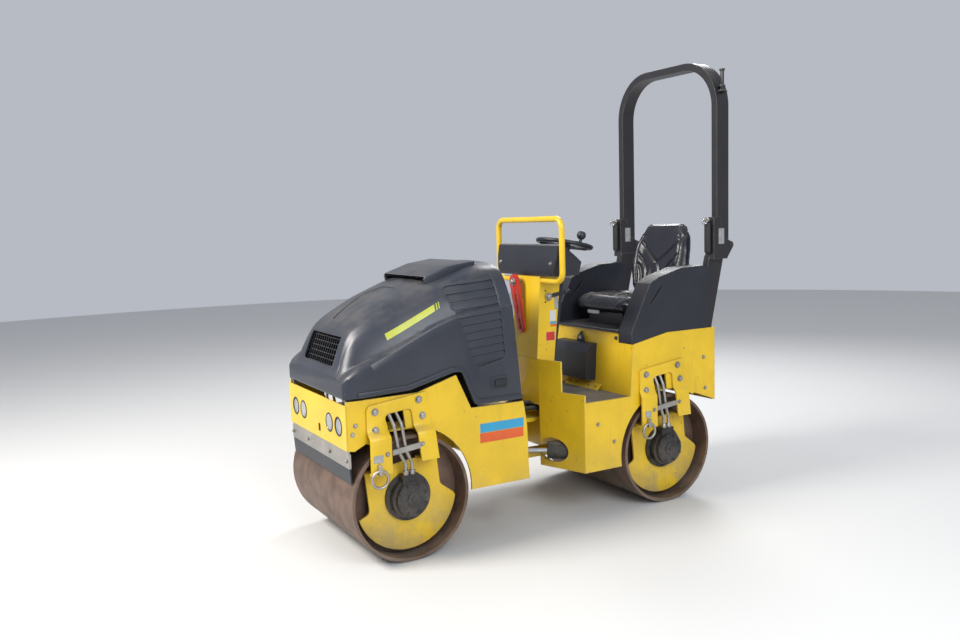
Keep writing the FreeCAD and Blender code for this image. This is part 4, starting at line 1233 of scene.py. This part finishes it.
# %% Motor screws
cap_screw = bolt_model(0.0065, 0.006, 0.009)
for node, axle in (("front_motors", 755), ("rear_motors", -755)):
    rows = []
    for count, radius, y in ((8, 68, 415), (6, 101, 359.3)):
        for number in range(count):
            turn = 2 * math.pi * (number + 0.5) / count
            rows.append((at(axle + radius * math.cos(turn), y, 290 + radius * math.sin(turn)), out_left))
    stamp(cap_screw, node + "_screws", mirror_rows(rows), node, finishes["dark_iron"])
for model in (big_bolt, small_bolt, cap_screw):
    bpy.data.objects.remove(model)

# %% [markdown]
# The lamps have a domed lens in a bright rim. The dome is the top of a flattened sphere, cut off
# with bisect, and its flutes are a fine ripple across the glass.

# %% Lamp lenses
flutes = finishes["lens"].node_tree
flute_place = flutes.nodes.new("ShaderNodeTexCoord").outputs["Object"]
ripple = flutes.nodes.new("ShaderNodeTexWave")
ripple.inputs["Scale"].default_value = 60.0
ripple.bands_direction = "Y"
flutes.links.new(flute_place, ripple.inputs["Vector"])
flute_bump = flutes.nodes.new("ShaderNodeBump")
flute_bump.inputs["Distance"].default_value = 0.0012
flutes.links.new(ripple.outputs["Fac"], flute_bump.inputs["Height"])
flutes.links.new(flute_bump.outputs["Normal"], flutes.nodes["Principled BSDF"].inputs["Normal"])
domes = []
rims = []
for y, x in ((175, 1046), (287, 1040), (-175, 1046), (-287, 1040)):
    deselect()
    bpy.ops.mesh.primitive_uv_sphere_add(segments=36, ring_count=18, radius=0.0366)
    dome = bpy.context.object
    bpy.ops.object.mode_set(mode="EDIT")
    bpy.ops.transform.resize(value=(1, 1, 0.22))
    bpy.ops.mesh.bisect(plane_co=(0, 0, 0), plane_no=(0, 0, 1), clear_inner=True, use_fill=True)
    bpy.ops.object.mode_set(mode="OBJECT")
    turn = Matrix.Rotation(math.radians(90), 4, "Y")
    dome.data.transform(Matrix.Translation(at(x, y, 641)) @ turn)
    bpy.ops.object.shade_smooth()
    domes.append(dome)
    bpy.ops.mesh.primitive_torus_add(major_radius=0.0372, minor_radius=0.0018, major_segments=48, minor_segments=8)
    rim = bpy.context.object
    bpy.ops.object.shade_smooth()
    rim.data.transform(Matrix.Translation(at(x + 1, y, 641)) @ turn)
    rims.append(rim)
finish_piece(join_all(domes), "lamp_domes", finishes["lens"], "lamps")
finish_piece(join_all(rims), "lamp_rims", finishes["chrome"], "lamps")

# %% [markdown]
# Blank stickers and plates, at the places where the machine carries them.

# %% Stickers
flat_labels = [
    ("hire_film_blue", (260, 378, 553), (243, 45), 1, "blue", "front_frame"),
    ("hire_film_orange", (262, 378, 506), (243, 48), 1, "orange", "front_frame"),
    ("leg_plate_front", (922, 428, 502), (44, 34), 2, "silver", "front_brackets"),
    ("leg_plate_rear", (-592, 436, 500), (40, 32), 2, "silver", "rear_brackets"),
    ("console_label_grey", (-246, 120, 1086), (24, 66), 2, "silver", "console"),
    ("console_label_white", (-221, 120, 1020), (40, 56), 2, "white", "console"),
    ("console_label_blue", (-224, 120, 983), (40, 14), 0, "blue", "console"),
    ("console_label_orange", (-225, 120, 969), (40, 12), 0, "orange", "console"),
    ("console_label_red", (-204, 120, 914), (54, 46), 2, "red", "console"),
    ("post_plate_left", (-1118, 425, 1402), (42, 84), 3, "silver", "rops_posts"),
    ("post_plate_right", (-1118, -425, 1402), (42, 84), 3, "silver", "rops_posts"),
]
for name, (x, y, z), (wide, tall), corner, tint, node in flat_labels:
    side_out = 1 if y > 0 else -1
    rounded_plate(name, at(x, y + side_out * 0.1, z), rearward * side_out, upward, wide / 1000, tall / 1000,
                  corner / 1000, 0.0006, film[tint], node)
inner_plate = rounded_plate("post_plate_inner", at(-1118, -359 + 0.1, 1410), rearward, upward, 0.042, 0.084,
                            0.003, 0.0006, film["silver"], "rops_posts")

# %% [markdown]
# The stripe on the hood is a slanted band of film with three bars behind it, bare of any word. Flat
# strips are cut into small squares and wrapped onto the moulding with a Shrinkwrap modifier.

# %% Hood stripe


def wrapped_strip(name, corners, finish, columns=24, rows=4, lift=0.0006):
    """A strip between four (x, z) corners of the drawing, wrapped on the hood's left flank."""
    deselect()
    bpy.ops.mesh.primitive_grid_add(x_subdivisions=columns, y_subdivisions=rows, size=2.0)
    piece = bpy.context.object
    low_front, low_rear, top_rear, top_front = corners
    for vertex in piece.data.vertices:
        u, v = (vertex.co.x + 1) / 2, (vertex.co.y + 1) / 2
        low = [a + (b - a) * u for a, b in zip(low_front, low_rear)]
        top = [a + (b - a) * u for a, b in zip(top_front, top_rear)]
        x, z = [a + (b - a) * v for a, b in zip(low, top)]
        vertex.co = at(x, 460, z)
    wrap = piece.modifiers.new("wrap", "SHRINKWRAP")
    wrap.target = hood
    wrap.wrap_method = "PROJECT"
    wrap.use_project_x = wrap.use_project_z = False
    wrap.use_project_y = True
    wrap.use_negative_direction = True
    wrap.use_positive_direction = False
    wrap.offset = lift
    activate(piece)
    bpy.ops.object.modifier_apply(modifier=wrap.name)
    bpy.ops.object.shade_smooth()
    return finish_piece(piece, name, finish, "hood")


wrapped_strip("hood_stripe", [(818, 1008), (584, 1122), (581, 1152), (823, 1036)], film["lime"])
wrapped_strip("hood_bar_1", [(576, 1126), (570, 1129), (568, 1158), (574, 1155)], film["lime"], 3)
wrapped_strip("hood_bar_2", [(564, 1132), (559, 1134), (557, 1163), (562, 1161)], film["lime"], 3)

# %% [markdown]
# Behind the hood's slats lies a closed panel, so the louvres read as steps with thin bright edges.
# Its surface follows the flank a few millimetres below the outer skin, by the same stations.

# %% Louvre panels

def louvre_panel(name, side):
    deselect()
    bpy.ops.mesh.primitive_grid_add(x_subdivisions=24, y_subdivisions=40, size=2.0)
    piece = bpy.context.object
    for vertex in piece.data.vertices:
        u, v = (vertex.co.x + 1) / 2, (vertex.co.y + 1) / 2
        low_x, low_z = 398 + (236 - 398) * u, 846 + (878 - 846) * u
        top_x, top_z = 528 + (276 - 528) * u, 1219 + (1272 - 1219) * u
        x, z = low_x + (top_x - low_x) * v, low_z + (top_z - low_z) * v
        vertex.co = at(x, side * (flank_y(x, z) - 8.0), z)
    solid = piece.modifiers.new("wall", "SOLIDIFY")
    solid.thickness = 0.002
    solid.offset = -1.0 if side > 0 else 1.0
    activate(piece)
    bpy.ops.object.modifier_apply(modifier=solid.name)
    bpy.ops.object.mode_set(mode="EDIT")
    bpy.ops.mesh.select_all(action="SELECT")
    bpy.ops.mesh.normals_make_consistent(inside=False)
    bpy.ops.object.mode_set(mode="OBJECT")
    bpy.ops.object.shade_smooth_by_angle(angle=math.radians(35))
    return finish_piece(piece, name, finishes["hood_plastic"], "hood")


louvre_panel("louvre_panel_left", 1)
louvre_panel("louvre_panel_right", -1)

# %% [markdown]
# The hood's latch sits in a small square frame low on the flank, open at its rear lower corner.

# %% Hood latch
for side in (1, -1):
    tag = "left" if side > 0 else "right"
    way = rearward * side
    rounded_plate("latch_frame_" + tag, at(276, side * 390.2, 761), way, upward, 0.092, 0.064, 0.008, 0.004,
                  finishes["hood_plastic"], "hood")
    rounded_plate("latch_well_" + tag, at(276, side * 394.0, 761), way, upward, 0.074, 0.046, 0.005, 0.0008,
                  finishes["rubber"], "hood")
    rounded_plate("latch_handle_" + tag, at(276, side * 394.6, 764), way, upward, 0.052, 0.024, 0.005, 0.006,
                  finishes["black_plastic"], "hood")

# %% [markdown]
# The red bar that locks the hinge for transport hangs on a bolt in front of the console. It is a
# flat bar with round ends, wider at the top, with a long slot and an eye below it.

# %% Lock bar


def stadium(top_radius, low_radius, length, depth):
    """A flat bar along -Y of its own plane from a round top end at the origin, with a round low end."""
    deselect()
    bpy.ops.mesh.primitive_circle_add(vertices=48, radius=1.0, fill_type="NGON")
    piece = bpy.context.object
    for vertex in piece.data.vertices:
        if vertex.co.y >= -0.001:
            vertex.co = Vector((vertex.co.x * top_radius, vertex.co.y * top_radius, 0))
        else:
            vertex.co = Vector((vertex.co.x * low_radius, vertex.co.y * low_radius - length, 0))
    bpy.ops.object.mode_set(mode="EDIT")
    bpy.ops.mesh.select_all(action="SELECT")
    bpy.ops.mesh.extrude_region_move(TRANSFORM_OT_translate={"value": (0, 0, depth)})
    bpy.ops.mesh.select_all(action="SELECT")
    bpy.ops.mesh.normals_make_consistent(inside=False)
    bpy.ops.object.mode_set(mode="OBJECT")
    return piece


bar = stadium(0.046, 0.034, 0.236, 0.010)
for radius, length, drop in ((0.009, 0.085, 0.070), (0.013, 0.030, 0.205)):
    hole = stadium(radius, radius, length, 0.05)
    hole.data.transform(Matrix.Translation((0, -drop, -0.02)))
    cut = bar.modifiers.new("slot", "BOOLEAN")
    cut.operation = "DIFFERENCE"
    cut.solver = "EXACT"
    cut.object = hole
    activate(bar)
    bpy.ops.object.modifier_apply(modifier=cut.name)
    bpy.data.objects.remove(hole)
bar_across = Vector((0.0, 0.988, 0.152))
bar_up = Vector((0.052, -0.152, 0.987))
bar_turn = Matrix((bar_across, bar_up, bar_across.cross(bar_up))).transposed().to_4x4()
bar_place = at(-112, -62, 1192)
bar.data.transform(Matrix.Translation(bar_place) @ bar_turn)
apply_bevel(bar, 0.0015, 2)
finish_piece(bar, "lock_bar", finishes["red_paint"], "console")
deselect()
lock_bolt = bolt_model(0.013, 0.011, 0.021)
stamp(lock_bolt, "lock_bar_bolt", [(bar_place + Vector((0.0105, -0.006, 0.004)), out_front)], "console",
      finishes["bare_steel"])
spacer = disc(0.014, 0.030, 0.0)
apply_bevel(spacer, 0.001, 1)
stamp(spacer, "lock_bar_spacer", [(bar_place + Vector((-0.031, -0.006, 0.004)), out_front)], "console",
      finishes["bare_steel"])
bpy.data.objects.remove(spacer)

# %% [markdown]
# The travel lever turns on a bolt on the console's left side, with a stop hole above and below it.
# Each stop hole is painted shade: a thin black disc on the console's face.

# %% Travel lever
stamp(lock_bolt, "lever_bolt", [(at(-194, 127, 1121), out_left)], "console", finishes["bare_steel"])
bpy.data.objects.remove(lock_bolt)
lever = stadium(0.011, 0.008, 0.112, 0.006)
lever_up = Vector((0.985, 0, -0.17)).normalized()
lever_right = Vector((0, 1, 0)).cross(lever_up) * -1
lever.data.transform(Matrix.Translation(at(-194, 121, 1121))
                     @ Matrix((lever_right, lever_up, lever_right.cross(lever_up))).transposed().to_4x4())
apply_bevel(lever, 0.0015, 2)
finish_piece(lever, "travel_lever", finishes["black_paint"], "console")
deselect()
bpy.ops.mesh.primitive_uv_sphere_add(segments=24, ring_count=16, radius=0.013)
knob = bpy.context.object
bpy.ops.object.mode_set(mode="EDIT")
bpy.ops.transform.resize(value=(1.7, 1, 1))
bpy.ops.object.mode_set(mode="OBJECT")
bpy.ops.object.shade_smooth()
knob.data.transform(Matrix.Translation(at(-312, 124, 1141)))
finish_piece(knob, "travel_lever_knob", finishes["black_plastic"], "console")
# The stop holes are painted shade: thin black discs on the console's face, not cut holes.
stop_hole_shade = disc(0.0045, 0.0012, 0.0)
stamp(stop_hole_shade, "lever_stop_hole_shade", [(at(-178, 120.1, 1152), out_left), (at(-177, 120.1, 1094), out_left)], "console",
      finishes["rubber"])
bpy.data.objects.remove(stop_hole_shade)

# %% [markdown]
# Each roll bar joint is held by a latch pin with a pull ring, and a black rubber sleeve lies along
# the front of the post. The left shoulder carries the socket of a warning beacon.

# %% Roll bar fittings
ring_rows, pin_rows, sleeves = [], [], []
for side in (1, -1):
    pin_rows.append((at(-1064, side * 392, 1490), out_front))
    deselect()
    bpy.ops.mesh.primitive_torus_add(major_radius=0.017, minor_radius=0.0025, major_segments=36, minor_segments=8)
    ring = bpy.context.object
    bpy.ops.object.shade_smooth()
    ring.data.transform(Matrix.Translation(at(-1022, side * 392 + 8, 1484)) @ Matrix.Rotation(1.2, 4, "X"))
    ring_rows.append(ring)
    bpy.ops.mesh.primitive_cube_add(size=1.0)
    sleeve = bpy.context.object
    sleeve.data.transform(Matrix.Translation(at(-1051, side * 392, 1394))
                          @ Matrix.Diagonal((0.024, 0.038, 0.160, 1)))
    apply_bevel(sleeve, 0.009, 4, 30)
    sleeves.append(sleeve)
deselect()
latch_pin = disc(0.0085, 0.046, 0.0)
latch_head = disc(0.014, 0.008, 0.0)
latch_head.data.transform(Matrix.Translation((0, 0, 0.012)))
apply_bevel(latch_pin, 0.0015, 2)
apply_bevel(latch_head, 0.0015, 2)
latch_pin = join_all([latch_pin, latch_head])
stamp(latch_pin, "latch_pins", pin_rows, "rops_posts", finishes["bare_steel"])
bpy.data.objects.remove(latch_pin)
finish_piece(join_all(ring_rows), "latch_rings", finishes["chrome"], "rops_posts")
finish_piece(join_all(sleeves), "post_sleeves", finishes["rubber"], "rops_posts")
socket_parts = []
for radius, depth, low in ((0.010, 0.115, 0.0), (0.017, 0.010, 0.020), (0.0145, 0.012, 0.103), (0.019, 0.006, 0.0)):
    deselect()
    step = disc(radius, depth, low)
    apply_bevel(step, 0.0012, 2)
    socket_parts.append(step)
socket = join_all(socket_parts)
socket.data.transform(Matrix.Translation(at(-1141, 408, 2170)))
finish_piece(socket, "beacon_socket", finishes["black_paint"], "rops_hoop")
rounded_plate("beacon_foot", at(-1141, 404, 2170) - Vector((0, 0, 0.005)), Vector((1, 0, 0)), Vector((0, 1, 0)),
              0.050, 0.044, 0.006, 0.005, finishes["black_paint"], "rops_hoop")

# %% [markdown]
# A folded yellow plate covers the corner between the floor and the seat wall. Its two rows of holes
# are thin black discs of painted shade on the plate, and a grey lever shows under the front of the seat.

# %% Floor plate and seat lever
fold_up = Vector((-0.72, 0, 0.69)).normalized()
rounded_plate("floor_corner_plate", at(-484, 17, 613), Vector((0, 1, 0)), fold_up, 0.300, 0.046, 0.004, 0.003,
              finishes["yellow_paint"], "rear_frame")
# Each hole is painted shade: a thin black disc laid on the plate's face, not a cut hole.
hole_shade_disc = disc(0.005, 0.0008, 0.0)
plate_out = Vector((0, 1, 0)).cross(fold_up)
hole_shade_rows = [(at(-484, y, 613) + plate_out * 0.0032, plate_out) for y in (-100, -40, 70, 130)]
stamp(hole_shade_disc, "floor_corner_hole_shade", hole_shade_rows, "rear_frame", finishes["rubber"])
bpy.data.objects.remove(hole_shade_disc)
rounded_plate("seat_slide_lever", at(-634, -70, 996), Vector((0, 1, 0)), upward, 0.105, 0.020, 0.009, 0.008,
              film["silver"], "seat_base")

# %% [markdown]
# Last cell: the size of the frame alone and of the dressed machine are printed one under the other,
# so that a piece that sticks out too far shows in two lines.

# %% Sizes and finish
visual_low, visual_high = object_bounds()
rows = {"cad": [list(cad_low), list(cad_high)], "visual": [list(visual_low), list(visual_high)]}
print("cad box", [round(v, 3) for v in cad_high - cad_low])
print("dressed box", [round(v, 3) for v in visual_high - visual_low])
